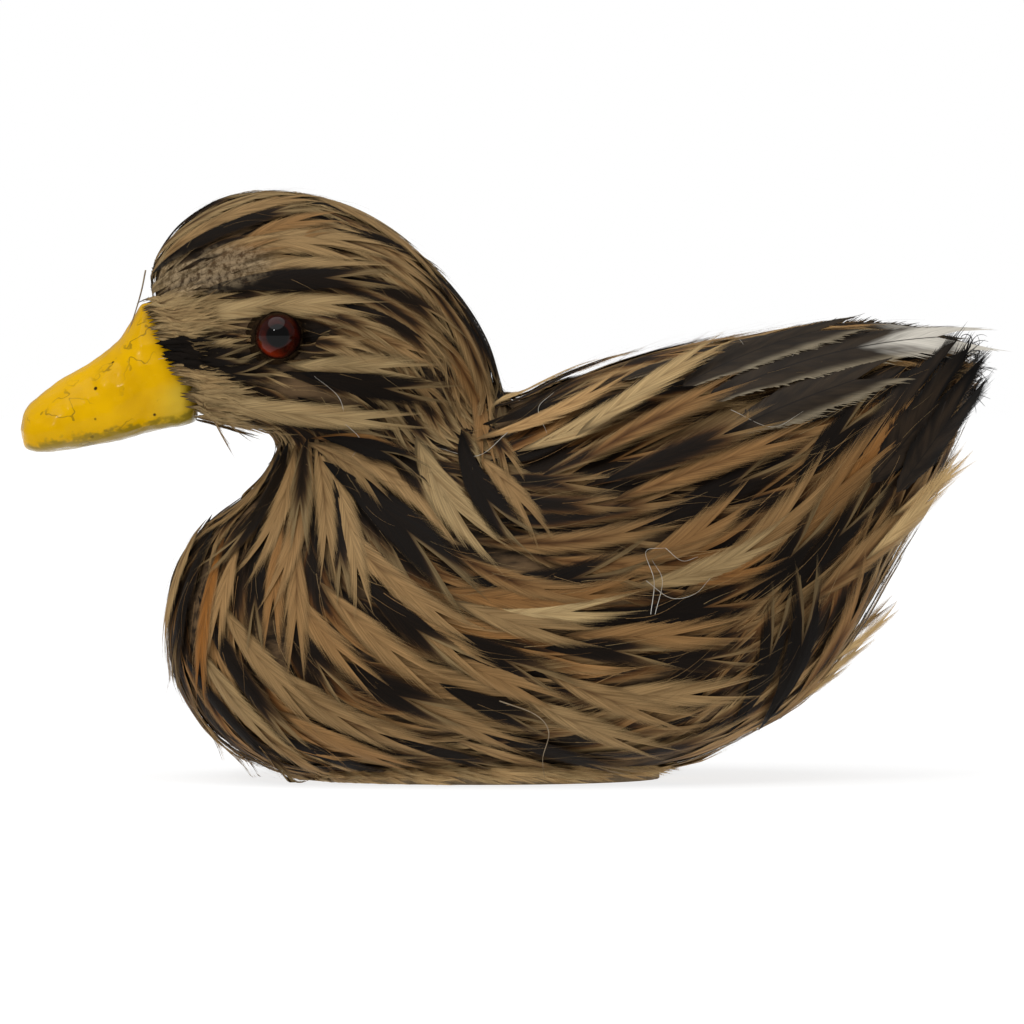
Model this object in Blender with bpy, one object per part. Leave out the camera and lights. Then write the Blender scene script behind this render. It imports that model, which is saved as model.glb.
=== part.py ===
"""A feather-covered decoy duck, 250 mm long, as it comes apart on a bench.

Two foam cores joined by a dowel carry a painted bill on a peg, two glass eyes on wires and a coat
of glued feathers. Each tract of small feathers is one thin shell on the core's surface; the large
quills of the wings and the tail are plates of their own. The duck stands on a flat base pad.

Frame: metres, +Z up, bill towards -X, tail towards +X, the duck's left side towards -Y. The origin
is on the floor, under the middle of the whole length.
"""

import math

import bmesh
import bpy
import numpy as np
from mathutils import Matrix, Vector

MM = 0.001

# Driving dimensions, in millimetres.
GAP = 0.4  # clearance between neighbouring pieces
COAT = 2.0  # thickness of a tract of small feathers
CORE_INSET = 3.4  # from the feathers' outer surface down to the foam
FLOOR_GAP = 0.3  # the lowest feathers stay this far off the floor
PAD_HEIGHT = 3.2
PAD_LENGTH, PAD_WIDTH, PAD_X = 92.0, 64.0, -8.0
DOWEL_RADIUS, DOWEL_LENGTH = 5.0, 64.0
DOWEL_FOOT = (-26.0, 0.0, 44.0)
PEG_RADIUS, PEG_LENGTH = 3.0, 34.0
EYE_RADIUS = 6.0
EYE_CENTRE = (-58.8, 21.0, 113.2)  # of the right eye; the left one is its mirror image
PUPIL_RADIUS, PUPIL_DEPTH = 2.6, 1.2
WIRE_RADIUS, WIRE_LENGTH = 0.8, 13.0
QUILL_THICKNESS = 0.8
NORMAL_STEP = 0.004  # in u and v, for slopes on a loft
EDGE_U, EDGE_V = 0.0012, 0.0018  # in u and v, half the gap between two tracts

# The body's outline at stations from breast to tail: x, lowest z, highest z, half width.
BODY_STATIONS = (
    (-88.7, 40.0, 40.0, 0.0),
    (-87.0, 28.0, 53.0, 14.0),
    (-82.5, 19.0, 61.0, 25.0),
    (-76.0, 10.5, 68.0, 34.0),
    (-66.0, 4.5, 75.0, 42.0),
    (-52.0, FLOOR_GAP, 82.0, 48.0),
    (-30.0, FLOOR_GAP, 88.5, 52.5),
    (-5.0, FLOOR_GAP, 95.0, 54.0),
    (20.0, FLOOR_GAP, 105.0, 53.5),
    (42.0, 3.0, 110.5, 50.5),
    (60.0, 10.5, 113.5, 45.5),
    (75.0, 19.5, 115.5, 39.0),
    (88.0, 36.0, 116.3, 32.0),
    (99.0, 57.0, 115.8, 26.0),
    (108.0, 73.0, 114.3, 19.5),
    (115.0, 88.0, 112.3, 12.0),
    (119.5, 101.0, 101.0, 0.0),
)
# Behind the rump the large quills leave the body and run on along a wider outline of their own.
QUILL_STATIONS = BODY_STATIONS[:14] + (
    (109.5, 74.5, 115.2, 21.5),
    (120.0, 95.0, 113.6, 16.0),
    (130.0, 104.0, 110.5, 11.0),
)
BODY_WAIST = 0.40  # height of the widest line, as a share of the section's height
BODY_POWERS = (1.85, 2.6)  # of the superellipse above and below the widest line

# The neck's and head's outline, from inside the body up to the crown: z, front x, back x, half width.
HEAD_STATIONS = (
    (48.0, -28.0, -28.0, 0.0),
    (54.0, -64.0, 10.0, 37.0),
    (64.0, -70.0, 9.0, 35.0),
    (73.0, -67.0, 5.5, 29.5),
    (81.0, -62.0, 1.5, 24.5),
    (87.5, -59.5, -2.0, 22.0),
    (91.5, -75.5, -2.8, 22.0),
    (97.0, -82.0, -3.0, 23.0),
    (105.0, -86.0, -3.8, 24.0),
    (114.0, -89.0, -7.2, 24.0),
    (122.0, -92.5, -12.0, 22.8),
    (130.0, -92.0, -18.6, 20.4),
    (137.5, -88.5, -26.5, 16.6),
    (144.0, -82.0, -36.0, 11.8),
    (148.6, -74.0, -47.0, 6.6),
    (150.8, -63.0, -63.0, 0.0),
)
HEAD_POWERS = (2.2, 2.2)  # of the superellipse in front of and behind the widest line

# The bill's outline from its root inside the head to its tip: x, lowest z, highest z, half width.
BILL_STATIONS = (
    (-80.0, 96.0, 96.0, 0.0),
    (-80.6, 91.5, 112.0, 10.0),
    (-84.0, 90.3, 121.0, 13.4),
    (-93.0, 88.4, 121.8, 13.8),
    (-99.5, 86.7, 112.6, 13.8),
    (-106.0, 85.4, 107.0, 14.2),
    (-113.5, 84.2, 102.6, 14.8),
    (-119.5, 83.4, 98.4, 14.0),
    (-123.6, 84.2, 94.6, 10.6),
    (-125.2, 89.0, 89.0, 0.0),
)
BILL_WAIST = 0.34
BILL_POWERS = (1.9, 3.2)

# Tracts of small feathers on the body. u runs from breast (0) to tail (1), and v from the keel (0)
# up the right side to the ridge of the back (0.5) and down the left side (1).
BODY_TRACTS_MIDDLE = {
    "breast_feathers": ((0.0, 0.25), (0.0, 1.0), (8, 25)),
    "mantle_feathers": ((0.46, 0.66), (0.405, 0.595), (8, 8)),
    "rump_feathers": ((0.66, 0.90), (0.405, 0.595), (9, 8)),
    "undertail_feathers": ((0.66, 0.90), (-0.13, 0.13), (9, 10)),
    "tail_base_feathers": ((0.90, 1.0), (0.0, 1.0), (4, 21)),
}
BODY_TRACTS_PAIRED = {
    "shoulder_feathers": ((0.25, 0.46), (0.245, 0.5), (9, 9)),
    "side_feathers": ((0.25, 0.46), (0.12, 0.245), (9, 6)),
    "belly_feathers": ((0.25, 0.66), (0.0, 0.12), (15, 9)),
    "wing_covert_feathers": ((0.46, 0.90), (0.245, 0.405), (14, 8)),
    "flank_feathers": ((0.46, 0.66), (0.12, 0.245), (8, 6)),
    "vent_feathers": ((0.66, 0.90), (0.13, 0.245), (9, 5)),
}
# Tracts on the neck and head. u runs from the neck's root (0) to the crown (1), and v from the
# throat (0) round the right side to the nape (0.5) and round the left side (1).
HEAD_TRACTS_MIDDLE = {
    "crown_feathers": ((0.775, 1.0), (0.0, 1.0), (6, 21)),
    "throat_feathers": ((0.16, 0.345), (-0.115, 0.115), (8, 8)),
    "nape_feathers": ((0.345, 0.775), (0.40, 0.60), (16, 7)),
    "chin_feathers": ((0.345, 0.46), (-0.115, 0.115), (5, 8)),
}
HEAD_TRACTS_PAIRED = {
    "cheek_feathers": ((0.345, 0.775), (0.115, 0.40), (16, 9)),
    "neck_side_feathers": ((0.16, 0.345), (0.115, 0.40), (8, 11)),
}

# The large quills of the wings and the tail, on the right side and repeated on the left: root and
# tip (u, v) along the quills' outline, width, and height above the small feathers.
LARGE_QUILLS = {
    "wing_quill_upper": ((0.56, 0.397), (0.83, 0.447), 12.0, 1.6),
    "wing_quill_middle": ((0.60, 0.366), (0.965, 0.430), 14.0, 2.8),
    "wing_quill_lower": ((0.63, 0.325), (0.90, 0.385), 12.0, 1.6),
    "tail_quill_side": ((0.75, 0.272), (0.945, 0.318), 18.0, 0.4),
}
TAIL_RIDGE_QUILL = ((0.75, 0.5), (0.955, 0.5), 15.0, 0.4)
DARK_QUILLS = ("tail_quill_side", "tail_quill_ridge")

COLOURS = {  # base colour, roughness, metallic
    "foam": ((0.86, 0.87, 0.84, 1.0), 0.85, 0.0),
    "wood": ((0.62, 0.46, 0.28, 1.0), 0.6, 0.0),
    "bill_paint": ((0.82, 0.56, 0.01, 1.0), 0.25, 0.0),
    "eye_glass": ((0.26, 0.04, 0.015, 1.0), 0.05, 0.0),
    "pupil": ((0.005, 0.005, 0.005, 1.0), 0.1, 0.0),
    "wire": ((0.45, 0.45, 0.46, 1.0), 0.35, 1.0),
    "pad": ((0.42, 0.34, 0.25, 1.0), 0.9, 0.0),
    "tan_feather": ((0.33, 0.21, 0.11, 1.0), 0.6, 0.0),
    "buff_feather": ((0.40, 0.30, 0.19, 1.0), 0.6, 0.0),
    "grey_feather": ((0.16, 0.14, 0.12, 1.0), 0.5, 0.0),
    "dark_feather": ((0.05, 0.04, 0.03, 1.0), 0.5, 0.0),
}


# ---------------------------------------------------------------- scene and materials


def clear_scene():
    for old in list(bpy.data.objects):
        bpy.data.objects.remove(old)


def collection(name):
    made = bpy.data.collections.new(name)
    bpy.context.scene.collection.children.link(made)
    return made


def material(name):
    found = bpy.data.materials.get(name)
    if found:
        return found
    colour, roughness, metallic = COLOURS[name]
    made = bpy.data.materials.new(name)
    made.use_nodes = True
    shader = made.node_tree.nodes["Principled BSDF"]
    shader.inputs["Base Color"].default_value = colour
    shader.inputs["Roughness"].default_value = roughness
    shader.inputs["Metallic"].default_value = metallic
    made.diffuse_color = colour
    return made


def add_object(name, shape, finish, group):
    """A named object in the given collection, from a bmesh whose points are in millimetres."""
    bmesh.ops.scale(shape, vec=(MM, MM, MM), verts=shape.verts)
    bmesh.ops.recalc_face_normals(shape, faces=shape.faces)
    mesh = bpy.data.meshes.new(name)
    shape.to_mesh(mesh)
    shape.free()
    mesh.shade_smooth()
    made = bpy.data.objects.new(name, mesh)
    group.objects.link(made)
    if finish:
        mesh.materials.append(material(finish))
    else:
        made.hide_render = True
        made.display_type = "WIRE"
    return made


def cut(piece, *cutters):
    for cutter in cutters:
        modifier = piece.modifiers.new("cut_" + cutter.name, "BOOLEAN")
        modifier.operation = "DIFFERENCE"
        modifier.object = cutter


# ---------------------------------------------------------------- outlines and surfaces


def through(stations):
    """A smooth function of u, from 0 at the first station to 1 at the last, with no overshoot."""
    table = np.array(stations, float)
    steps = np.diff(table, axis=0)
    slopes = np.zeros_like(table)
    rising = steps[:-1] * steps[1:] > 0
    mean = 2 * steps[:-1] * steps[1:] / np.where(rising, steps[:-1] + steps[1:], 1)
    slopes[1:-1] = np.where(rising, mean, 0)
    slopes[0] = steps[0] * 1.6
    slopes[-1] = steps[-1] * 1.6
    last = len(table) - 2

    def at(u):
        place = min(max(u, 0.0), 1.0) * (last + 1)
        k = min(int(place), last)
        t = place - k
        start, end = table[k], table[k + 1]
        return (
            start * (1 + 2 * t) * (1 - t) ** 2
            + slopes[k] * t * (1 - t) ** 2
            + end * t * t * (3 - 2 * t)
            + slopes[k + 1] * t * t * (t - 1)
        )

    return at


def powered(value, power):
    return math.copysign(abs(value) ** (2 / power), value)


def upright_loft(stations, waist, powers):
    """A surface of upright sections along X: v is 0 at the keel, 0.25 on the right, 0.5 on top."""
    outline = through(stations)

    def surface(u, v):
        x, low, high, half = outline(u)
        middle = low + (high - low) * waist
        side, rise = math.sin(math.tau * v), -math.cos(math.tau * v)
        power = powers[0] if rise > 0 else powers[1]
        reach = high - middle if rise > 0 else middle - low
        return Vector((x, half * powered(side, power), middle + reach * powered(rise, power)))

    return surface


def level_loft(stations, powers):
    """A surface of level sections along Z: v is 0 in front, 0.25 on the right, 0.5 at the back."""
    outline = through(stations)

    def surface(u, v):
        z, front, back, half = outline(u)
        middle = front + (back - front) * 0.52
        side, along = math.sin(math.tau * v), -math.cos(math.tau * v)
        power = powers[1] if along > 0 else powers[0]
        reach = back - middle if along > 0 else middle - front
        return Vector((middle + reach * powered(along, power), half * powered(side, power), z))

    return surface


def slope_normal(surface, u, v, outward):
    along = surface(u + NORMAL_STEP, v) - surface(u - NORMAL_STEP, v)
    round_it = surface(u, v + NORMAL_STEP) - surface(u, v - NORMAL_STEP)
    normal = along.cross(round_it).normalized()
    return normal if normal.dot(outward(surface(u, v))) > 0 else -normal


def normal_at(surface, u, v, outward):
    """The unit normal pointing out; at either end of a loft it is the mean of those round it."""
    inside = min(max(u, NORMAL_STEP), 1 - NORMAL_STEP)
    if 0 < u < 1:
        return slope_normal(surface, inside, v, outward)
    around = (slope_normal(surface, inside, k / 8, outward) for k in range(8))
    return sum(around, Vector()).normalized()


def from_body_axis(point):
    return Vector((point.x * 0.2, point.y, point.z - 55.0))


def from_head_axis(point):
    return Vector((point.x + 42.0, point.y, (point.z - 112.0) * 0.6))


def from_bill_axis(point):
    return Vector((0.0, point.y, point.z - 95.0))


def inset_point(surface, outward, u, v, inset):
    return surface(u, v) - normal_at(surface, u, v, outward) * inset


# ---------------------------------------------------------------- shapes


def whole_loft(name, surface, outward, inset, rings, sides, finish, group):
    """A sphere whose points are pulled onto a loft and moved in by inset."""
    shape = bmesh.new()
    bmesh.ops.create_uvsphere(shape, u_segments=sides, v_segments=rings, radius=1.0)
    for vertex in shape.verts:
        x, y, z = vertex.co
        u = math.acos(max(-1.0, min(1.0, -z))) / math.pi
        v = math.atan2(y, -x) / math.tau
        vertex.co = inset_point(surface, outward, u, v, inset)
    bmesh.ops.remove_doubles(shape, verts=shape.verts, dist=0.02)
    return add_object(name, shape, finish, group)


def shell(name, grid, point, depths, finish, group):
    """A closed sheet between two depths; point(s, t, depth) is a point of it, s and t from 0 to 1."""
    shape = bmesh.new()
    for depth in depths:
        layer = bmesh.ops.create_grid(
            shape, x_segments=grid[0], y_segments=grid[1], size=0.5
        )["verts"]
        for vertex in layer:
            vertex.co = point(vertex.co.x + 0.5, vertex.co.y + 0.5, depth)
        bmesh.ops.remove_doubles(shape, verts=layer, dist=0.02)
    rim = [edge for edge in shape.edges if edge.is_boundary]
    bmesh.ops.bridge_loops(shape, edges=rim)
    return add_object(name, shape, finish, group)


def tract(name, surface, outward, us, vs, grid, finish, group):
    """A shell of small feathers on a patch of a loft, with a gap all round it."""
    u0, u1 = us
    v0, v1 = vs
    u0 += 0 if u0 <= 0 else EDGE_U
    u1 -= 0 if u1 >= 1 else EDGE_U
    if v1 - v0 < 1.0:
        v0, v1 = v0 + EDGE_V, v1 - EDGE_V

    def point(s, t, depth):
        return inset_point(surface, outward, u0 + (u1 - u0) * s, v0 + (v1 - v0) * t, depth)

    return shell(name, grid, point, (0.0, COAT), finish, group)


def rod(name, radius, length, start, direction, finish, group, sides=20):
    shape = bmesh.new()
    bmesh.ops.create_cone(
        shape, cap_ends=True, segments=sides, radius1=radius, radius2=radius, depth=length
    )
    turn = Vector((0, 0, 1)).rotation_difference(Vector(direction)).to_matrix().to_4x4()
    shift = Matrix.Translation(Vector(start)) @ turn @ Matrix.Translation((0, 0, length / 2))
    bmesh.ops.transform(shape, matrix=shift, verts=shape.verts)
    return add_object(name, shape, finish, group)


def oval(name, length, width, bottom, top, finish, group):
    """A flat oval disc, lengthwise under the body."""
    shape = bmesh.new()
    bmesh.ops.create_cone(
        shape, cap_ends=True, segments=40, radius1=0.5, radius2=0.5, depth=top - bottom
    )
    bmesh.ops.scale(shape, vec=(length, width, 1), verts=shape.verts)
    bmesh.ops.translate(shape, vec=(PAD_X, 0, (top + bottom) / 2), verts=shape.verts)
    return add_object(name, shape, finish, group)


def ball(name, radius, centre, finish, group):
    shape = bmesh.new()
    bmesh.ops.create_uvsphere(shape, u_segments=20, v_segments=12, radius=radius)
    bmesh.ops.translate(shape, vec=centre, verts=shape.verts)
    return add_object(name, shape, finish, group)


def feather_width(along, width):
    """Half the width of a large feather at a share of its length: a narrow root and a round tip."""
    return 0.5 * width * min(1.0, 0.22 + 2.4 * along) * math.sqrt(max(0.0, 1 - along**5)) + 0.3


# ---------------------------------------------------------------- sub-assemblies


def mirrored(side):
    """The share of the way round at which a right-hand v lies on the given side."""
    return (lambda v: v) if side == "right" else (lambda v: 1 - v)


def build_tracts(duck, body, head, cutters):
    body_middle = {"breast_feathers": "buff_feather", "rump_feathers": "grey_feather"}
    for name, (us, vs, grid) in BODY_TRACTS_MIDDLE.items():
        finish = body_middle.get(name, "tan_feather")
        piece = tract(name, body, from_body_axis, us, vs, grid, finish, duck)
        cut(piece, cutters["neck"])
    for name, (us, vs, grid) in HEAD_TRACTS_MIDDLE.items():
        piece = tract(name, head, from_head_axis, us, vs, grid, "buff_feather", duck)
        cut(piece, cutters["bill"], cutters["body"])
    for side in ("left", "right"):
        turn = mirrored(side)
        for name, (us, vs, grid) in BODY_TRACTS_PAIRED.items():
            ends = sorted(map(turn, vs))
            full = f"{name}_{side}"
            finish = "grey_feather" if "wing" in name else "tan_feather"
            piece = tract(full, body, from_body_axis, us, ends, grid, finish, duck)
            cut(piece, cutters["neck"])
            if name == "belly_feathers":
                cut(piece, cutters["pad"])
        for name, (us, vs, grid) in HEAD_TRACTS_PAIRED.items():
            ends = sorted(map(turn, vs))
            full = f"{name}_{side}"
            piece = tract(full, head, from_head_axis, us, ends, grid, "buff_feather", duck)
            cut(piece, cutters["bill"], cutters["body"], cutters["eye_" + side])


def build_lores(duck, head, cutters):
    """The feathers in front of each eye, between the chin and the crown, that meet the bill."""
    for side in ("left", "right"):
        vs = sorted(map(mirrored(side), (0.0, 0.115)))
        name = f"lore_feathers_{side}"
        piece = tract(name, head, from_head_axis, (0.46, 0.775), vs, (12, 5), "buff_feather", duck)
        cut(piece, cutters["bill"], cutters["eye_" + side])


def build_eye(duck, side, cutters):
    x, y, z = EYE_CENTRE
    inwards = -1.0 if side == "right" else 1.0
    centre = Vector((x, -inwards * y, z))
    eye = ball(f"eye_glass_{side}", EYE_RADIUS, centre, "eye_glass", duck)
    back = centre + Vector((0, inwards * EYE_RADIUS, 0))
    recess_depth = EYE_RADIUS * 1.15
    recess_end = back - Vector((0, inwards * recess_depth, 0))
    recess = rod(
        f"cutter_pupil_{side}", PUPIL_RADIUS + GAP, recess_depth + 2, recess_end,
        (0, inwards, 0), None, cutters["group"],
    )
    cut(eye, recess)
    pupil_front = recess_end + Vector((0, inwards * GAP, 0))
    rod(
        f"eye_pupil_{side}", PUPIL_RADIUS, PUPIL_DEPTH, pupil_front, (0, inwards, 0), "pupil", duck
    )
    wire_start = pupil_front + Vector((0, inwards * (PUPIL_DEPTH + GAP), 0))
    rod(
        f"eye_wire_{side}", WIRE_RADIUS, WIRE_LENGTH, wire_start, (0, inwards, 0), "wire", duck, 10
    )


def build_quill(name, quill, turn, outline, duck):
    """A large feather that follows the quills' outline, clear of the small feathers under it."""
    (u0, v0), (u1, v1), width, lift = quill

    def point(along, across, depth):
        u = u0 + (u1 - u0) * along
        v = v0 + (v1 - v0) * along
        girth = (outline(u, v + 0.01) - outline(u, v)).length
        offset = (across * 2 - 1) * feather_width(along, width)
        v = turn(v + offset * 0.01 / girth)
        return inset_point(outline, from_body_axis, u, v, depth)

    finish = "dark_feather" if name.startswith(DARK_QUILLS) else "grey_feather"
    shell(name, (10, 4), point, (-lift, -lift - QUILL_THICKNESS), finish, duck)


def build_quills(duck, outline):
    build_quill("tail_quill_ridge", TAIL_RIDGE_QUILL, mirrored("right"), outline, duck)
    for side in ("left", "right"):
        for name, quill in LARGE_QUILLS.items():
            build_quill(f"{name}_{side}", quill, mirrored(side), outline, duck)


def build_duck():
    clear_scene()
    duck = collection("feathered_decoy_duck")
    helpers = collection("cutters")
    body = upright_loft(BODY_STATIONS, BODY_WAIST, BODY_POWERS)
    head = level_loft(HEAD_STATIONS, HEAD_POWERS)
    bill = upright_loft(BILL_STATIONS, BILL_WAIST, BILL_POWERS)

    body_core = whole_loft("body_core", body, from_body_axis, CORE_INSET, 20, 24, "foam", duck)
    head_core = whole_loft("head_core", head, from_head_axis, CORE_INSET, 36, 22, "foam", duck)
    bill_piece = whole_loft("bill", bill, from_bill_axis, 0.0, 20, 22, "bill_paint", duck)

    oval("base_pad", PAD_LENGTH, PAD_WIDTH, 0.0, PAD_HEIGHT, "pad", duck)

    cutters = {"group": helpers}
    cutters["pad"] = oval(
        "cutter_pad", PAD_LENGTH + 2 * GAP, PAD_WIDTH + 2 * GAP, -1.0, PAD_HEIGHT + GAP, None, helpers
    )
    cutters["body"] = whole_loft(
        "cutter_body", body, from_body_axis, CORE_INSET - GAP, 20, 24, None, helpers
    )
    cutters["neck"] = whole_loft("cutter_neck", head, from_head_axis, -1.5 * GAP, 30, 24, None, helpers)
    cutters["bill"] = whole_loft("cutter_bill", bill, from_bill_axis, -GAP, 20, 22, None, helpers)
    for side, sign in (("left", -1), ("right", 1)):
        x, y, z = EYE_CENTRE
        centre = (x, sign * y, z)
        cutters["eye_" + side] = ball(
            "cutter_eye_" + side, EYE_RADIUS + GAP, centre, None, helpers
        )

    rod("neck_dowel", DOWEL_RADIUS, DOWEL_LENGTH, DOWEL_FOOT, (0, 0, 1), "wood", duck)
    dowel_hole = rod(
        "cutter_dowel", DOWEL_RADIUS + GAP, DOWEL_LENGTH + 2 * GAP,
        Vector(DOWEL_FOOT) - Vector((0, 0, GAP)), (0, 0, 1), None, helpers,
    )
    peg_start, peg_way = Vector((-104.0, 0, 97.0)), Vector((0.96, 0, 0.28)).normalized()
    rod("bill_peg", PEG_RADIUS, PEG_LENGTH, peg_start, peg_way, "wood", duck, 16)
    peg_hole = rod(
        "cutter_peg", PEG_RADIUS + GAP, PEG_LENGTH + 2 * GAP, peg_start - peg_way * GAP, peg_way,
        None, helpers, 16,
    )
    wire_hole = rod(
        "cutter_wires", WIRE_RADIUS + GAP, 2 * EYE_CENTRE[1],
        (EYE_CENTRE[0], -EYE_CENTRE[1], EYE_CENTRE[2]), (0, 1, 0), None, helpers, 10,
    )
    cut(body_core, dowel_hole)
    cut(
        head_core, cutters["body"], cutters["bill"], cutters["eye_left"], cutters["eye_right"],
        dowel_hole, peg_hole, wire_hole,
    )
    cut(bill_piece, peg_hole)
    for side in ("left", "right"):
        build_eye(duck, side, cutters)
    build_tracts(duck, body, head, cutters)
    build_lores(duck, head, cutters)
    build_quills(duck, upright_loft(QUILL_STATIONS, BODY_WAIST, BODY_POWERS))


build_duck()
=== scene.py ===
"""The feather-covered decoy duck as it looks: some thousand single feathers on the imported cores.

Lengths in this script are in millimetres until a mesh is made. The side view's plane is X and Z.
"""
import math

import bmesh
import bpy
import numpy as np
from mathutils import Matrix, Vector
from mathutils import noise as bl_noise
from mathutils.bvhtree import BVHTree


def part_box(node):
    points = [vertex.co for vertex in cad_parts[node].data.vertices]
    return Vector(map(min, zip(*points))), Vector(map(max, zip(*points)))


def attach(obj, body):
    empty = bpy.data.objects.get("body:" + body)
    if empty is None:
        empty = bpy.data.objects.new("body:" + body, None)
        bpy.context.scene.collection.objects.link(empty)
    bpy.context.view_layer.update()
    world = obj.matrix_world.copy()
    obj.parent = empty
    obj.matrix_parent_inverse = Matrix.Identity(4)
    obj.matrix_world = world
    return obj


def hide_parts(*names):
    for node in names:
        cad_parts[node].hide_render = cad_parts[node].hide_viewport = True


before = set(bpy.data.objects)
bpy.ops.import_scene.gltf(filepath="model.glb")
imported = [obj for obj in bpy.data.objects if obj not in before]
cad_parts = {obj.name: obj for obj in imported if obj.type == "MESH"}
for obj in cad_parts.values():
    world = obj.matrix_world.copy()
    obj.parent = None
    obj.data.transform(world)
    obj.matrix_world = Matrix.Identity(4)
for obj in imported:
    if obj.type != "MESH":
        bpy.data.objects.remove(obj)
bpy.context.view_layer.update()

MM = 0.001
rng = np.random.default_rng(20)

# ---------------------------------------------------------------- small helpers


def srgb(red, green, blue):
    """A linear colour from its 8-bit display values."""
    def linear(value):
        value /= 255
        return value / 12.92 if value <= 0.04045 else ((value + 0.055) / 1.055) ** 2.4
    return (linear(red), linear(green), linear(blue), 1.0)


def unit(vectors):
    return vectors / np.maximum(np.linalg.norm(vectors, axis=-1, keepdims=True), 1e-9)


def smooth(value, low, high):
    t = np.clip((value - low) / (high - low), 0, 1)
    return t * t * (3 - 2 * t)


def mesh_object(name, verts, faces, material, smooth_shade=True):
    """An object from points in millimetres and faces of any size."""
    mesh = bpy.data.meshes.new(name)
    mesh.from_pydata([tuple(v) for v in np.asarray(verts) * MM], [], faces)
    mesh.validate()
    if smooth_shade:
        mesh.shade_smooth()
    made = bpy.data.objects.new(name, mesh)
    bpy.context.scene.collection.objects.link(made)
    mesh.materials.append(material)
    return made


def evaluated(source):
    graph = bpy.context.evaluated_depsgraph_get()
    return bpy.data.meshes.new_from_object(source.evaluated_get(graph))


# ---------------------------------------------------------------- material nodes


def add(tree, kind, inputs=(), **settings):
    made = tree.nodes.new("ShaderNode" + kind)
    for key, value in settings.items():
        setattr(made, key, value)
    pairs = inputs.items() if isinstance(inputs, dict) else enumerate(inputs)
    for key, value in pairs:
        if isinstance(value, bpy.types.NodeSocket):
            tree.links.new(value, made.inputs[key])
        elif value is not None:
            made.inputs[key].default_value = value
    return made.outputs


def maths(tree, operation, *values, clamp=False):
    return add(tree, "Math", values, operation=operation, use_clamp=clamp)[0]


def mixed(tree, factor, first, second, blend="MIX"):
    made = add(tree, "Mix", {0: factor, 6: first, 7: second}, data_type="RGBA", blend_type=blend)
    return made[2]


def ramped(tree, value, low, high, to_low=0.0, to_high=1.0):
    inputs = {"Value": value, "From Min": low, "From Max": high, "To Min": to_low, "To Max": to_high}
    return add(tree, "MapRange", inputs, interpolation_type="SMOOTHSTEP")[0]


def noise(tree, vector, scale, detail=2.0, roughness=0.5, out=0):
    inputs = {"Vector": vector, "Scale": scale, "Detail": detail, "Roughness": roughness}
    return add(tree, "TexNoise", inputs)[out]


def new_material(name):
    made = bpy.data.materials.new(name)
    made.use_nodes = True
    return made, made.node_tree, made.node_tree.nodes["Principled BSDF"]


def bumped(tree, shader, height, strength, distance):
    inputs = {"Strength": strength, "Distance": distance, "Height": height}
    tree.links.new(add(tree, "Bump", inputs)[0], shader.inputs["Normal"])


def feather_nodes(tree):
    """What every feather's pattern is drawn from: its own coordinates, numbers and two noises."""
    uv = add(tree, "UVMap", uv_map="feather")[0]
    along, across, _ = add(tree, "SeparateXYZ", [uv])
    signed = maths(tree, "MULTIPLY_ADD", across, 2.0, -1.0)
    side = maths(tree, "ABSOLUTE", signed)
    plume = add(tree, "Attribute", attribute_name="plume")
    streak, warmth, bright = add(tree, "SeparateColor", [plume[0]])
    seed = maths(tree, "MULTIPLY", plume[3], 60.0)
    vane = maths(tree, "MULTIPLY_ADD", maths(tree, "GREATER_THAN", across, 0.5), 7.3, seed)
    broad = add(tree, "CombineXYZ", [maths(tree, "MULTIPLY", along, 5.0), signed, seed])[0]
    fine = add(
        tree, "CombineXYZ",
        [maths(tree, "MULTIPLY", along, 95.0), maths(tree, "MULTIPLY", side, 1.3), vane],
    )[0]
    patch = noise(tree, broad, 1.6)
    coarse = add(tree, "CombineXYZ", [maths(tree, "MULTIPLY", along, 30.0), side, vane])[0]
    barbs = mixed(tree, 0.30, noise(tree, fine, 1.0, 1.5), noise(tree, coarse, 1.0))
    barbs = add(tree, "SeparateColor", [barbs])[0]
    return along, side, streak, warmth, bright, patch, barbs


# The speckled brow patch, in metres, placed from the photograph.
BROW_X, BROW_Z = -0.0755, 0.1297
BROW_HALVES = (0.0165, 0.0062)


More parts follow.
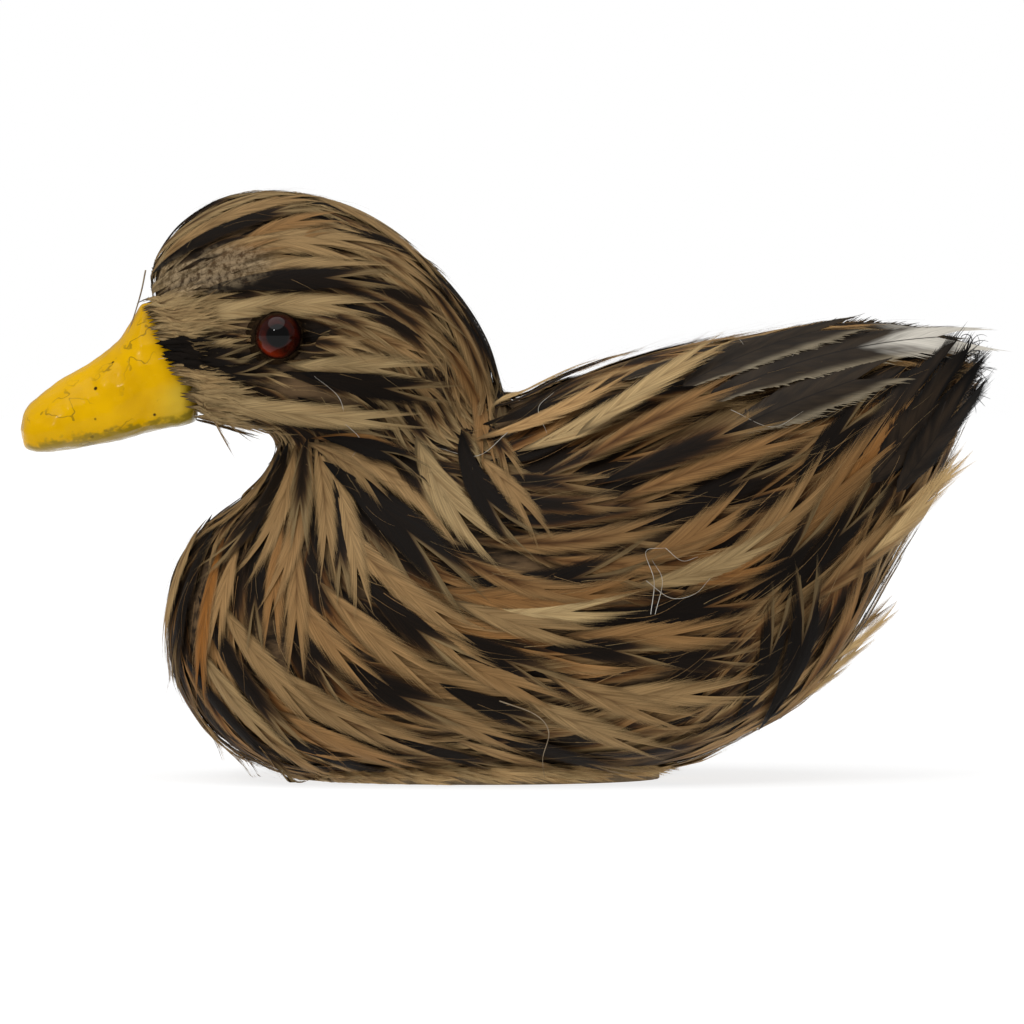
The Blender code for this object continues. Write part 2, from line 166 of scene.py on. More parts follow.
def coat_material():
    """Hen-pheasant and duck feathers: a dark centre streak, tan vanes and paler edges."""
    made, tree, shader = new_material("coat_feather")
    along, side, streak, warmth, bright, patch, barbs = feather_nodes(tree)
    offset = maths(tree, "MULTIPLY", maths(tree, "SUBTRACT", along, 0.40), 2.05)
    shape = maths(tree, "SUBTRACT", 1.0, maths(tree, "MULTIPLY", offset, offset))
    width = maths(tree, "MULTIPLY", streak, maths(tree, "SQRT", maths(tree, "MAXIMUM", shape, 0.0)))
    width = maths(tree, "MULTIPLY_ADD", maths(tree, "MINIMUM", shape, 0.0), 0.5, width)
    ragged = maths(tree, "MULTIPLY_ADD", maths(tree, "SUBTRACT", patch, 0.5), 0.5, width)
    ragged = maths(tree, "MULTIPLY_ADD", maths(tree, "SUBTRACT", barbs, 0.5), 0.45, ragged)
    # How far outside the dark streak: feathers with next to no streak are pale to the shaft.
    outside = maths(tree, "SUBTRACT", side, ragged)
    outside = maths(tree, "ADD", outside, ramped(tree, streak, 0.05, 0.35, 0.45, 0.0))
    black = mixed(tree, barbs, srgb(11, 8, 5), srgb(40, 28, 17))
    rust = mixed(tree, warmth, srgb(92, 71, 45), srgb(112, 68, 29))
    tan = mixed(tree, warmth, srgb(162, 138, 97), srgb(160, 103, 46))
    edge = maths(tree, "MULTIPLY", maths(tree, "POWER", side, 2.5), 0.35)
    tan = mixed(tree, edge, tan, srgb(192, 164, 116))
    tan = mixed(tree, ramped(tree, patch, 0.4, 0.75, 0.0, 0.45), tan, srgb(104, 76, 44))
    colour = mixed(tree, ramped(tree, outside, -0.32, -0.05), black, srgb(46, 32, 20))
    colour = mixed(tree, ramped(tree, outside, -0.10, 0.12), colour, rust)
    colour = mixed(tree, ramped(tree, outside, 0.04, 0.46), colour, tan)
    shaft = ramped(tree, side, 0.012, 0.04, 0.16, 0.0)
    colour = mixed(tree, shaft, colour, srgb(54, 39, 24))
    # The brow is speckled with brown over grey.
    place = add(tree, "TexCoord")["Object"]
    x, _, z = add(tree, "SeparateXYZ", [place])
    over = maths(tree, "ADD", x, -BROW_X)
    up = maths(tree, "MULTIPLY_ADD", over, -0.16, maths(tree, "SUBTRACT", z, BROW_Z))
    over, up = maths(tree, "DIVIDE", over, BROW_HALVES[0]), maths(tree, "DIVIDE", up, BROW_HALVES[1])
    far = maths(tree, "MULTIPLY_ADD", over, over, maths(tree, "MULTIPLY", up, up))
    speckle = ramped(tree, noise(tree, place, 560.0, 4.0, 0.7), 0.38, 0.60)
    speckle = mixed(tree, speckle, srgb(70, 54, 38), srgb(164, 143, 112))
    colour = mixed(tree, ramped(tree, far, 0.3, 1.3, 0.8, 0.0), colour, speckle)
    shade = maths(tree, "MULTIPLY", bright, ramped(tree, barbs, 0.3, 0.7, 1.05, 2.3))
    # Painted shade: the hidden root of a feather is made darker, in part as the shadow of the
    # feathers lying over it, in part as the darker downy base of a real feather.
    shade = maths(tree, "MULTIPLY", shade, ramped(tree, along, 0.03, 0.20, 0.40, 1.0))
    grey = add(tree, "CombineColor", [shade, shade, shade])[0]
    colour = mixed(tree, 1.0, colour, grey, "MULTIPLY")
    tree.links.new(colour, shader.inputs["Base Color"])
    tree.links.new(ramped(tree, barbs, 0.2, 0.8, 0.45, 0.65), shader.inputs["Roughness"])
    shader.inputs["Specular IOR Level"].default_value = 0.07
    bumped(tree, shader, barbs, 0.4, 0.0003)
    return made


def quill_material(name, vane, deep, edge, edge_from, tip_colour, tip_from):
    """Large wing and tail feathers: an even vane with a paler or darker edge and tip."""
    made, tree, shader = new_material(name)
    along, side, streak, warmth, bright, patch, barbs = feather_nodes(tree)
    across = add(tree, "SeparateXYZ", [add(tree, "UVMap", uv_map="feather")[0]])[1]
    colour = mixed(tree, ramped(tree, patch, 0.3, 0.7), srgb(*vane), srgb(*deep))
    rim = maths(tree, "MULTIPLY_ADD", maths(tree, "SUBTRACT", patch, 0.5), 0.3, side)
    rim = ramped(tree, rim, edge_from, 1.0)
    # One vane, the lower one where warmth is 0 and both where it is 1, has the edge's colour.
    outer = maths(tree, "MAXIMUM", ramped(tree, across, 0.48, 0.52, 1.0, 0.0), warmth)
    colour = mixed(tree, maths(tree, "MULTIPLY", rim, outer), colour, srgb(*edge))
    tip = maths(tree, "MULTIPLY_ADD", maths(tree, "SUBTRACT", patch, 0.5), 0.25, along)
    tip = maths(tree, "MULTIPLY", ramped(tree, tip, tip_from, tip_from + 0.2), streak)
    colour = mixed(tree, tip, colour, srgb(*tip_colour))
    shaft = ramped(tree, side, 0.02, 0.045, 0.85, 0.0)
    colour = mixed(tree, shaft, colour, srgb(24, 19, 15))
    shade = maths(tree, "MULTIPLY", bright, ramped(tree, barbs, 0.3, 0.7, 1.6, 2.2))
    grey = add(tree, "CombineColor", [shade, shade, shade])[0]
    colour = mixed(tree, 1.0, colour, grey, "MULTIPLY")
    tree.links.new(colour, shader.inputs["Base Color"])
    tree.links.new(ramped(tree, barbs, 0.2, 0.8, 0.4, 0.6), shader.inputs["Roughness"])
    shader.inputs["Specular IOR Level"].default_value = 0.10
    bumped(tree, shader, barbs, 0.25, 0.0003)
    return made


def down_and_gap_shade_material():
    """The short down under the feathers, streaked dark and brown. Its dark browns are in part painted
    shade, standing for the shadow in the gaps between feathers where this layer shows.
    """
    made, tree, shader = new_material("down")
    place = add(tree, "TexCoord")["Object"]
    stretched = add(tree, "Mapping", {"Vector": place, "Scale": (60.0, 220.0, 260.0)})[0]
    streaks = noise(tree, stretched, 1.0, 4.0, 0.6)
    blots = noise(tree, place, 70.0, 3.0)
    colour = mixed(tree, ramped(tree, streaks, 0.35, 0.65), srgb(34, 27, 20), srgb(104, 82, 58))
    colour = mixed(tree, ramped(tree, blots, 0.4, 0.7, 0.0, 0.6), colour, srgb(30, 24, 18))
    tree.links.new(colour, shader.inputs["Base Color"])
    tree.links.new(ramped(tree, streaks, 0.2, 0.8, 0.7, 0.95), shader.inputs["Roughness"])
    shader.inputs["Specular IOR Level"].default_value = 0.1
    bumped(tree, shader, streaks, 0.6, 0.0008)
    return made


def plain_material(name, first, second, scale, rough, bump=0.3, depth=0.0003, **settings):
    """Two tones in a noise, with its roughness and bump: felt, wood, foam, wire, loose barbs."""
    made, tree, shader = new_material(name)
    place = add(tree, "TexCoord")["Object"]
    grain = noise(tree, place, scale, 4.0, 0.6)
    colour = mixed(tree, ramped(tree, grain, 0.3, 0.7), srgb(*first), srgb(*second))
    tree.links.new(colour, shader.inputs["Base Color"])
    tree.links.new(ramped(tree, grain, 0.2, 0.8, rough[0], rough[1]), shader.inputs["Roughness"])
    for key, value in settings.items():
        shader.inputs[key.replace("_", " ")].default_value = value
    bumped(tree, shader, grain, bump, depth)
    return made


def enamel_material():
    """Thick golden-yellow enamel with specks, creases, a thin pale patch and dirt below."""
    made, tree, shader = new_material("bill_enamel")
    place = add(tree, "TexCoord")["Object"]
    x, _, z = add(tree, "SeparateXYZ", [place])
    drift = noise(tree, place, 70.0, 3.0)
    colour = mixed(tree, ramped(tree, drift, 0.3, 0.7), srgb(226, 174, 0), srgb(204, 154, 0))
    # The coat thins towards the throat, where it is paler and greener.
    low = maths(tree, "ADD", z, maths(tree, "MULTIPLY", x, -0.45))
    pale = maths(
        tree, "MULTIPLY", ramped(tree, x, -0.0935, -0.084), ramped(tree, low, 0.1425, 0.1365)
    )
    colour = mixed(tree, maths(tree, "MULTIPLY", pale, 0.5), colour, srgb(196, 174, 62))
    fine = noise(tree, place, 420.0, 2.0)
    rim = maths(tree, "MULTIPLY_ADD", x, -0.200, maths(tree, "SUBTRACT", z, 0.0))
    rim = maths(tree, "MULTIPLY_ADD", maths(tree, "SUBTRACT", fine, 0.5), 0.006, rim)
    dirt = ramped(tree, rim, 0.1105, 0.1085, 0.0, 0.75)
    colour = mixed(tree, dirt, colour, srgb(122, 108, 34))
    creases = maths(tree, "ABSOLUTE", maths(tree, "SUBTRACT", noise(tree, place, 95.0, 3.0), 0.5))
    where = ramped(tree, noise(tree, place, 60.0), 0.52, 0.62, 0.0, 0.55)
    crease = maths(tree, "MULTIPLY", ramped(tree, creases, 0.004, 0.012, 1.0, 0.0), where)
    colour = mixed(tree, crease, colour, srgb(92, 78, 22))
    cells = add(tree, "TexVoronoi", {"Vector": place, "Scale": 190.0, "Randomness": 1.0})
    chosen = ramped(tree, add(tree, "SeparateColor", [cells[1]])[0], 0.78, 0.80)
    speck = maths(tree, "MULTIPLY", ramped(tree, cells[0], 0.07, 0.12, 1.0, 0.0), chosen)
    colour = mixed(tree, speck, colour, srgb(48, 28, 8))
    tree.links.new(colour, shader.inputs["Base Color"])
    tree.links.new(ramped(tree, fine, 0.3, 0.7, 0.14, 0.30), shader.inputs["Roughness"])
    shader.inputs["Specular IOR Level"].default_value = 0.06
    shader.inputs["Coat Weight"].default_value = 0.05
    shader.inputs["Coat Roughness"].default_value = 0.08
    height = maths(tree, "MULTIPLY_ADD", crease, -0.6, drift)
    bumped(tree, shader, maths(tree, "MULTIPLY_ADD", fine, 0.15, height), 0.35, 0.0008)
    return made


def glass_material():
    """A glass eye: black pupil, dark amber iris, and a painted glow of refracted light that makes
    the amber brighter low at the front.
    """
    made, tree, shader = new_material("eye_glass_amber")
    ring = add(tree, "Attribute", attribute_name="ring")
    radius, painted_refraction_glow, _ = add(tree, "SeparateColor", [ring[0]])
    place = add(tree, "TexCoord")["Object"]
    cloud = noise(tree, place, 500.0, 3.0)
    amber = mixed(tree, ramped(tree, cloud, 0.3, 0.7), srgb(52, 11, 5), srgb(30, 7, 4))
    # Painted glow: the amber is made brighter low at the front, standing for light refracted through the
    # glass.
    amber = mixed(tree, ramped(tree, painted_refraction_glow, 0.25, 0.9, 0.0, 0.85), amber, srgb(140, 40, 12))
    amber = mixed(tree, ramped(tree, radius, 0.80, 0.99), amber, srgb(16, 8, 6))
    edge = maths(tree, "MULTIPLY_ADD", maths(tree, "SUBTRACT", cloud, 0.5), 0.08, radius)
    colour = mixed(tree, ramped(tree, edge, 0.44, 0.54), srgb(4, 3, 3), amber)
    tree.links.new(colour, shader.inputs["Base Color"])
    tree.links.new(ramped(tree, cloud, 0.3, 0.7, 0.05, 0.09), shader.inputs["Roughness"])
    shader.inputs["Specular IOR Level"].default_value = 0.16
    bumped(tree, shader, cloud, 0.05, 0.0001)
    return made


# ---------------------------------------------------------------- the surface under the feathers

SOFT_NODES = sorted(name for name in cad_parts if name.endswith("_feathers") or "_feathers_" in name)
VOXEL = 1.5
# The camera's own place. Places given in the side view are cast from here on to the skin, and from
# its mirror image for the right side.
VIEWPOINT = (0.3, 2180.0, 125.0)
WISP_SPACING = 5.2
CLOSING = 1.4  # the tracts are swollen by this much, to close the gaps between them
DEPTH = 1.2  # of the undercoat below the tracts' outer faces


def cad_arrays(names):
    verts, faces, owners = [], [], []
    start = 0
    for index, name in enumerate(names):
        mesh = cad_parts[name].data
        verts += [v.co / MM for v in mesh.vertices]
        faces += [[start + k for k in p.vertices] for p in mesh.polygons]
        owners += [index] * len(mesh.polygons)
        start = len(verts)
    return verts, faces, owners


def undercoat_mesh():
    """The tracts and cores melted into one smooth skin, a little inside the finished plumage."""
    verts, faces, _ = cad_arrays(SOFT_NODES + ["body_core", "head_core"])
    source = mesh_object("undercoat_source", verts, faces, down_and_gap_shade_material())
    shape = source.modifiers.new("join", "REMESH")
    shape.mode, shape.voxel_size = "VOXEL", VOXEL * MM
    grown = source.modifiers.new("grow", "DISPLACE")
    grown.mid_level, grown.strength = 0.0, CLOSING * MM
    again = source.modifiers.new("close", "REMESH")
    again.mode, again.voxel_size = "VOXEL", VOXEL * MM
    relaxed = source.modifiers.new("relax", "SMOOTH")
    relaxed.factor, relaxed.iterations = 0.5, 10
    shrunk = source.modifiers.new("shrink", "DISPLACE")
    shrunk.mid_level, shrunk.strength = 0.0, -(CLOSING + DEPTH) * MM
    last = source.modifiers.new("relax_more", "SMOOTH")
    last.factor, last.iterations = 0.5, 6
    mesh = evaluated(source)
    bpy.data.objects.remove(source)
    # Only the outermost shell is wanted: what the closing left inside is dropped.
    shape = bmesh.new()
    shape.from_mesh(mesh)
    shape.verts.ensure_lookup_table()
    seen, islands = set(), []
    for vertex in shape.verts:
        if vertex.index in seen:
            continue
        stack, island = [vertex], []
        seen.add(vertex.index)
        while stack:
            here = stack.pop()
            island.append(here)
            for edge in here.link_edges:
                there = edge.other_vert(here)
                if there.index not in seen:
                    seen.add(there.index)
                    stack.append(there)
        islands.append(island)
    islands.sort(key=len)
    for island in islands[:-1]:
        bmesh.ops.delete(shape, geom=island, context="VERTS")
    shape.to_mesh(mesh)
    shape.free()
    mesh.shade_smooth()
    return mesh


class Skin:
    """The undercoat's surface, with smooth normals, in millimetres."""

    def __init__(self, mesh):
        count = len(mesh.vertices)
        self.points = np.empty(count * 3)
        mesh.vertices.foreach_get("co", self.points)
        self.points = self.points.reshape(-1, 3) / MM
        self.normals = np.array([tuple(v.normal) for v in mesh.vertices])
        self.faces = [tuple(p.vertices) for p in mesh.polygons]
        self.tree = BVHTree.FromPolygons([tuple(p) for p in self.points], self.faces)
        self.owner_names = SOFT_NODES
        verts, faces, self.owners = cad_arrays(SOFT_NODES)
        self.owner_tree = BVHTree.FromPolygons([tuple(v) for v in verts], faces)

    def normal(self, point, face):
        corners = self.faces[face]
        gaps = np.linalg.norm(self.points[list(corners)] - np.array(point), axis=1)
        weights = 1 / (gaps + 0.05)
        return unit(weights @ self.normals[list(corners)])

    def nearest(self, point):
        """The closest point of the skin and its normal."""
        found, _, face, _ = self.tree.find_nearest(Vector(point))
        return np.array(found), self.normal(found, face)

    def from_side(self, x, z, sign):
        """The point seen at x and z from the given side, and its normal, or None off the duck."""
        eye = Vector((VIEWPOINT[0], sign * VIEWPOINT[1], VIEWPOINT[2]))
        found, _, face, _ = self.tree.ray_cast(eye, Vector((x, 0, z)) - eye)
        if found is None:
            return None
        return np.array(found), self.normal(found, face)

    def owner(self, point):
        face = self.owner_tree.find_nearest(Vector(point))[2]
        return self.owner_names[self.owners[face]]


# ---------------------------------------------------------------- how the feathers lie

# Guides in the side view, read off the photograph: x, z, and the way the feathers point
# there, in degrees above +X.
HEAD_GUIDES = (
    (-90, 124, 45), (-86, 136, 42), (-72, 146, 20), (-58, 149, -6), (-44, 145, -28),
    (-30, 135, -46), (-19, 122, -62), (-10, 108, -76), (-4, 94, -74), (2, 84, -58),
    (-85, 116, 6), (-76, 124, 12), (-66, 130, 8), (-58, 122, -4), (-46, 128, -20),
    (-46, 118, -14), (-34, 122, -34), (-34, 112, -30), (-28, 104, -46), (-76, 110, -3),
    (-66, 104, -8), (-54, 104, -14), (-42, 104, -18), (-80, 99, -10), (-70, 94, -14),
    (-56, 95, -26), (-42, 94, -40), (-28, 92, -52), (-14, 92, -62), (-60, 84, -75),
    (-50, 82, -62), (-36, 80, -56), (-20, 78, -52), (-4, 76, -46), (-62, 74, -96),
    (-52, 72, -78), (-36, 68, -58),
)
BODY_GUIDES = (
    (-66, 72, -112), (-78, 62, -112), (-86, 50, -98), (-88, 38, -84), (-84, 24, -66),
    (-74, 12, -42), (-60, 4, -16), (-62, 60, -100), (-70, 44, -86), (-72, 28, -62),
    (-52, 62, -78), (-54, 46, -62), (-56, 30, -46), (-54, 16, -28), (-40, 60, -56),
    (-38, 44, -42), (-38, 28, -26), (-36, 12, -12), (-22, 60, -40), (-20, 46, -30),
    (-18, 30, -14), (-16, 12, -4), (-10, 74, -24), (-2, 62, -16), (0, 46, -10),
    (4, 30, -2), (6, 12, 4), (8, 92, 32), (14, 82, 24), (16, 70, 6),
    (20, 58, 0), (24, 44, 4), (28, 28, 12), (32, 12, 20), (30, 104, 26),
    (34, 92, 24), (38, 78, 14), (42, 64, 12), (46, 48, 20), (48, 34, 28),
    (50, 18, 34), (56, 110, 16), (58, 98, 20), (62, 82, 24), (66, 66, 32),
    (68, 50, 42), (70, 34, 50), (78, 112, 8), (82, 96, 30), (86, 80, 44),
    (86, 62, 54), (84, 46, 58), (100, 112, 2), (102, 96, 44), (102, 80, 54),
    (98, 66, 58), (112, 108, 6), (112, 96, 50), (112, 86, 56),
)
FACE_TRACTS = ("lore", "cheek", "chin")
HEAD_TRACTS = ("crown", "lore", "cheek", "chin", "throat", "nape", "neck_side")


def flow(point, guides):
    """The direction in the side view at a point, between those of the guides near it."""
    table = guides
    gaps = (table[:, 0] - point[0]) ** 2 + (table[:, 1] - point[2]) ** 2 + 12.0
    weights = gaps**-2.0
    heading = np.radians(table[:, 2])
    return np.array(
        [float(weights @ np.cos(heading)), 0.0, float(weights @ np.sin(heading))]
    ) / float(weights.sum())


GUIDES = {"head": np.array(HEAD_GUIDES, float), "body": np.array(BODY_GUIDES, float)}

# ---------------------------------------------------------------- one feather

STATIONS = 9  # along a feather's spine
STEPS = np.linspace(0, 1, STATIONS)[:, None]  # the same, from root to tip
LANES = np.array([-1.0, -0.5, 0.0, 0.5, 1.0])  # across it
OUTLINE_SNAP = 6.0  # a feather drawn this little off the outline is laid on it
LONGEST_BARB = 4.6  # in half widths
SHARED = 3  # columns of points that neighbouring barbs share, from the shaft outwards


class FeatherForm:
    """The faces and barb coordinates of a feather with a given number of barbs on each side."""

    def __init__(self, barbs):
        self.barbs = barbs
        lines = np.arange(barbs + 1) / barbs
        along, reach, sign, centre, free = [], [], [], [], []
        faces = []

        def point(s, t, side, barb, is_free):
            along.append(s)
            reach.append(t)
            sign.append(side)
            centre.append(barb)
            free.append(is_free)
            return len(along) - 1

        shaft = [point(s, 0.0, 1, min(k, barbs - 1), 0) for k, s in enumerate(lines)]
        for side in (1, -1):
            columns = [shaft]
            for column in range(1, SHARED):
                t = column / (SHARED - 1)
                columns.append([point(s, t, side, min(k, barbs - 1), 0) for k, s in enumerate(lines)])
            for k in range(barbs):
                low, high = [c[k] for c in columns], [c[k + 1] for c in columns]
                for t, taper in ((1.4, 0.78), (1.75, 0.45)):
                    middle = (k + 0.5) / barbs
                    low.append(point(middle - 0.5 * taper / barbs, t, side, k, 1))
                    high.append(point(middle + 0.5 * taper / barbs, t, side, k, 1))
                tip = point((k + 0.5) / barbs, 2.0, side, k, 1)
                for a in range(len(low) - 1):
                    quad = (low[a], low[a + 1], high[a + 1], high[a])
                    faces.append(quad if side > 0 else quad[::-1])
                end = (low[-1], tip, high[-1])
                faces.append(end if side > 0 else end[::-1])
        self.along = np.array(along)
        self.reach = np.array(reach)
        self.sign = np.array(sign, float)
        self.barb = np.array(centre)
        self.faces = faces
        self.count = len(along)
        side_index = (self.sign < 0).astype(int)
        self.barb_slot = self.barb + side_index * barbs


def catmull(position, count):
    """Weights of a smooth curve through count evenly spaced points."""
    beyond = position - np.clip(position, 0, count - 1)
    position = position - beyond
    base = np.clip(np.floor(position).astype(int), 0, count - 2)
    f = (position - base)[:, None]
    table = np.concatenate(
        [-f + 2 * f**2 - f**3, 2 - 5 * f**2 + 3 * f**3, f + 4 * f**2 - 3 * f**3, -(f**2) + f**3],
        axis=1,
    ) / 2
    weights = np.zeros((len(position), count + 2))
    rows = np.arange(len(position))
    for k in range(4):
        weights[rows, base + k] += table[:, k]
    # Beyond either end the curve runs straight on.
    inner = weights[:, 1:-1].copy()
    inner[:, 0] += 2 * weights[:, 0]
    inner[:, 1] -= weights[:, 0]
    inner[:, -1] += 2 * weights[:, -1]
    inner[:, -2] -= weights[:, -1]
    inner[:, -1] += np.maximum(beyond, 0)
    inner[:, -2] -= np.maximum(beyond, 0)
    inner[:, 0] -= np.minimum(beyond, 0)
    inner[:, 1] += np.minimum(beyond, 0)
    return inner


def feather_points(form, length, half, angle_root, angle_tip, fray, droop, seed):
    """A feather lying flat: millimetres along, across and up, for each point of the form."""
    local = np.random.default_rng(seed)
    groups, k = np.zeros(form.barbs * 2, int), 0
    while k < form.barbs * 2:
        size = local.integers(4, 14)
        groups[k : k + size] = groups[k - 1] + 1 if k else 0
        k += size
    count = groups.max() + 1
    middles = np.array([np.mean(np.flatnonzero(groups == g) % form.barbs) for g in range(count)])
    split = local.random(count) < 0.06
    group_length = local.normal(0, 0.035, count) - 0.2 * (local.random(count) < 0.07)
    group_rise = local.normal(0, 0.18, count)
    barb_length = 1 + group_length[groups] + local.normal(0, 0.08, form.barbs * 2)
    pull = np.where(split, local.uniform(0.5, 0.9, count), local.uniform(0.0, 0.16, count))[groups]
    rise = group_rise[groups] + local.normal(0, 0.12, form.barbs * 2)

    slot = form.barb_slot
    free_from = 1.0 - fray
    reach = np.where(
        form.reach <= 1, form.reach * free_from, free_from + (form.reach - 1) * fray
    )
    loose = np.clip(form.reach - 1, 0, 1)
    s = form.along + pull[slot] * (
        (middles[groups[slot]] + 0.5) / form.barbs - form.along
    ) * loose * 0.6
    angle = np.radians(angle_root + (angle_tip - angle_root) * np.clip(s, 0, 1) ** 1.3)
    width = half * (0.45 + 0.55 * smooth(s, 0.0, 0.25)) * (1 - 0.3 * smooth(s, 0.55, 1.0))
    longest = min(half * LONGEST_BARB, length * 0.45)
    barb = np.minimum(width / np.sin(angle), longest)
    barb *= np.where(loose > 0, 1 + (barb_length[slot] - 1) * loose, 1.0)
    tip_reach = min(half * 0.7 / math.sin(math.radians(angle_tip)), longest)
    stem = length - tip_reach * 0.92
    x = s * stem + barb * np.cos(angle) * reach
    y = form.sign * barb * np.sin(angle) * reach * (1 - 0.10 * reach)
    z = -droop * (y / half) ** 2 + rise[slot] * loose**2
    return np.stack([x, y, z], axis=1), s, reach


class Plumage:
    """Feathers gathered into one mesh, with their own coordinates and numbers for the pattern."""

    def __init__(self, skin):
        self.skin = skin
        self.verts, self.faces, self.uvs, self.plumes = [], [], [], []
        self.start = 0

    def spine_by_flow(self, root, guides, length, turn):
        """Points and normals from a root along the flow; it leaves the skin where that turns away."""
        skin = self.skin
        here, normal = skin.nearest(root)
        first = normal
        step = length / (STATIONS - 1)
        points, normals = [here], [normal]
        ahead = None
        for _ in range(STATIONS - 1):
            if ahead is None or guides is not None:
                way = flow(here, guides)
                way = way - normal * (way @ normal)
                way = unit(way)
                side = np.cross(normal, way)
                way = unit(way * math.cos(turn) + side * math.sin(turn))
            target = here + way * step
            found, found_normal = skin.nearest(target)
            if np.linalg.norm(found - target) > step * 0.55 or found_normal @ first < 0.45:
                found, found_normal = target, normal
            here, normal = found, unit(0.5 * normal + 0.5 * found_normal)
            points.append(here)
            normals.append(normal)
        return np.array(points), np.array(normals)

    def spine_between(self, start, end, bend, sign):
        """Points and normals under a curve drawn in the side view on the given side."""
        start, end = np.array(start, float), np.array(end, float)
        across = np.array([-(end - start)[1], (end - start)[0]]) * bend
        points, normals = [], []
        self.off_side = 0  # how many of the last spine's points the side view doesn't see
        for t in np.linspace(0, 1, STATIONS):
            x, z = start + (end - start) * t + across * 4 * t * (1 - t)
            hit = self.skin.from_side(x, z, sign)
            crossed = hit is not None and points and abs(hit[0][1] - points[-1][1]) > 9.0
            if hit is None or crossed:
                self.off_side += 1
                y = sign * 3.0
                if len(points) == 1:
                    y = points[-1][1]
                elif points:
                    y = points[-1][1] + 0.6 * (points[-1][1] - points[-2][1])
                y = max(sign * y, 0.5) * sign
                near, normal = self.skin.nearest((x, y, z))
                free = np.linalg.norm(near - (x, y, z)) > OUTLINE_SNAP or crossed
                if free and points:
                    normal = unit(normal + 2 * normals[-1])
                hit = (np.array([x, y, z]) if free and points else near, normal)
            points.append(hit[0])
            normals.append(hit[1])
        return np.array(points), np.array(normals)

    def place(self, points, normals, half, flat, heights, roll, free):
        """Bends a flat feather over the skin along its spine."""
        ways = unit(np.gradient(points, axis=0))
        sides = unit(np.cross(normals, ways))
        grid = np.empty((STATIONS, len(LANES), 3))
        tops = np.empty_like(grid)
        for k in range(STATIONS):
            for lane, share in enumerate(LANES):
                target = points[k] + sides[k] * share * half
                if share == 0 or free:
                    grid[k, lane], tops[k, lane] = target, normals[k]
                    continue
                found, normal = self.skin.nearest(target)
                if np.linalg.norm(found - target) > half * 0.5 or normal @ normals[k] < 0.5:
                    found = target - normals[k] * half * 0.12 * abs(share)
                    normal = normals[k]
                grid[k, lane], tops[k, lane] = found, normal
        length = np.linalg.norm(np.diff(points, axis=0), axis=1).sum()
        down = catmull(flat[:, 0] / length * (STATIONS - 1), STATIONS)
        over = catmull((flat[:, 1] / half + 1) * 2, len(LANES))
        spot = np.einsum("nk,nl,klc->nc", down, over, grid)
        top = unit(np.einsum("nk,nl,klc->nc", down, over, tops))
        height = heights(flat[:, 0] / length) + flat[:, 2] + flat[:, 1] * math.tan(roll)
        return spot + top * np.maximum(height, 0.05)[:, None]

    def add(self, form, points, normals, look, seed):
        """One feather. look gives its width, barbs, lift and the pattern's three numbers."""
        length = np.linalg.norm(np.diff(points, axis=0), axis=1).sum()
        half = look["half"]
        flat, s, reach = feather_points(
            form, length, half, look.get("angle_root", 17), look.get("angle_tip", 8),
            look.get("fray", 0.35), look.get("droop", 0.5), seed,
        )
        base, lift = look.get("base", 0.2), look["lift"]

        def heights(t):
            return base + lift * np.clip(t, 0, 1.2) ** 0.9

        spots = self.place(
            points, normals, half, flat, heights, look.get("roll", 0.0), look.get("free", False)
        )
        spots[:, 2] = np.maximum(spots[:, 2], 0.15 + 0.25 * reach)
        for eye in EYES:
            gap = spots[:, ::2] - eye[::2]
            far = np.linalg.norm(gap, axis=1)
            inside = (spots[:, 1] * eye[1] > 0) & (far < EYE_EDGE + EYE_PARTING)
            new = EYE_EDGE + far * EYE_PARTING / (EYE_EDGE + EYE_PARTING)
            spots[inside, ::2] = eye[::2] + (gap * (new / np.maximum(far, 0.1))[:, None])[inside]
        self.verts.append(spots)
        self.faces += [tuple(k + self.start for k in face) for face in form.faces]
        self.uvs.append(np.stack([np.clip(s, 0, 1), 0.5 + 0.5 * form.sign * reach], axis=1))
        plume = (look["streak"], look["warmth"], look["bright"], (seed % 977) / 977)
        self.plumes.append(np.tile(plume, (form.count, 1)))
        self.start += form.count

    def build(self, name, material):
        verts = np.concatenate(self.verts)
        made = mesh_object(name, verts, self.faces, material)
        mesh = made.data
        uvs = np.concatenate(self.uvs)
        corners = np.empty(len(mesh.loops), int)
        mesh.loops.foreach_get("vertex_index", corners)
        layer = mesh.uv_layers.new(name="feather")
        layer.data.foreach_set("uv", uvs[corners].ravel())
        plume = mesh.attributes.new("plume", "FLOAT_COLOR", "POINT")
        plume.data.foreach_set("color", np.concatenate(self.plumes).ravel())
        return made


# ---------------------------------------------------------------- where the feathers grow

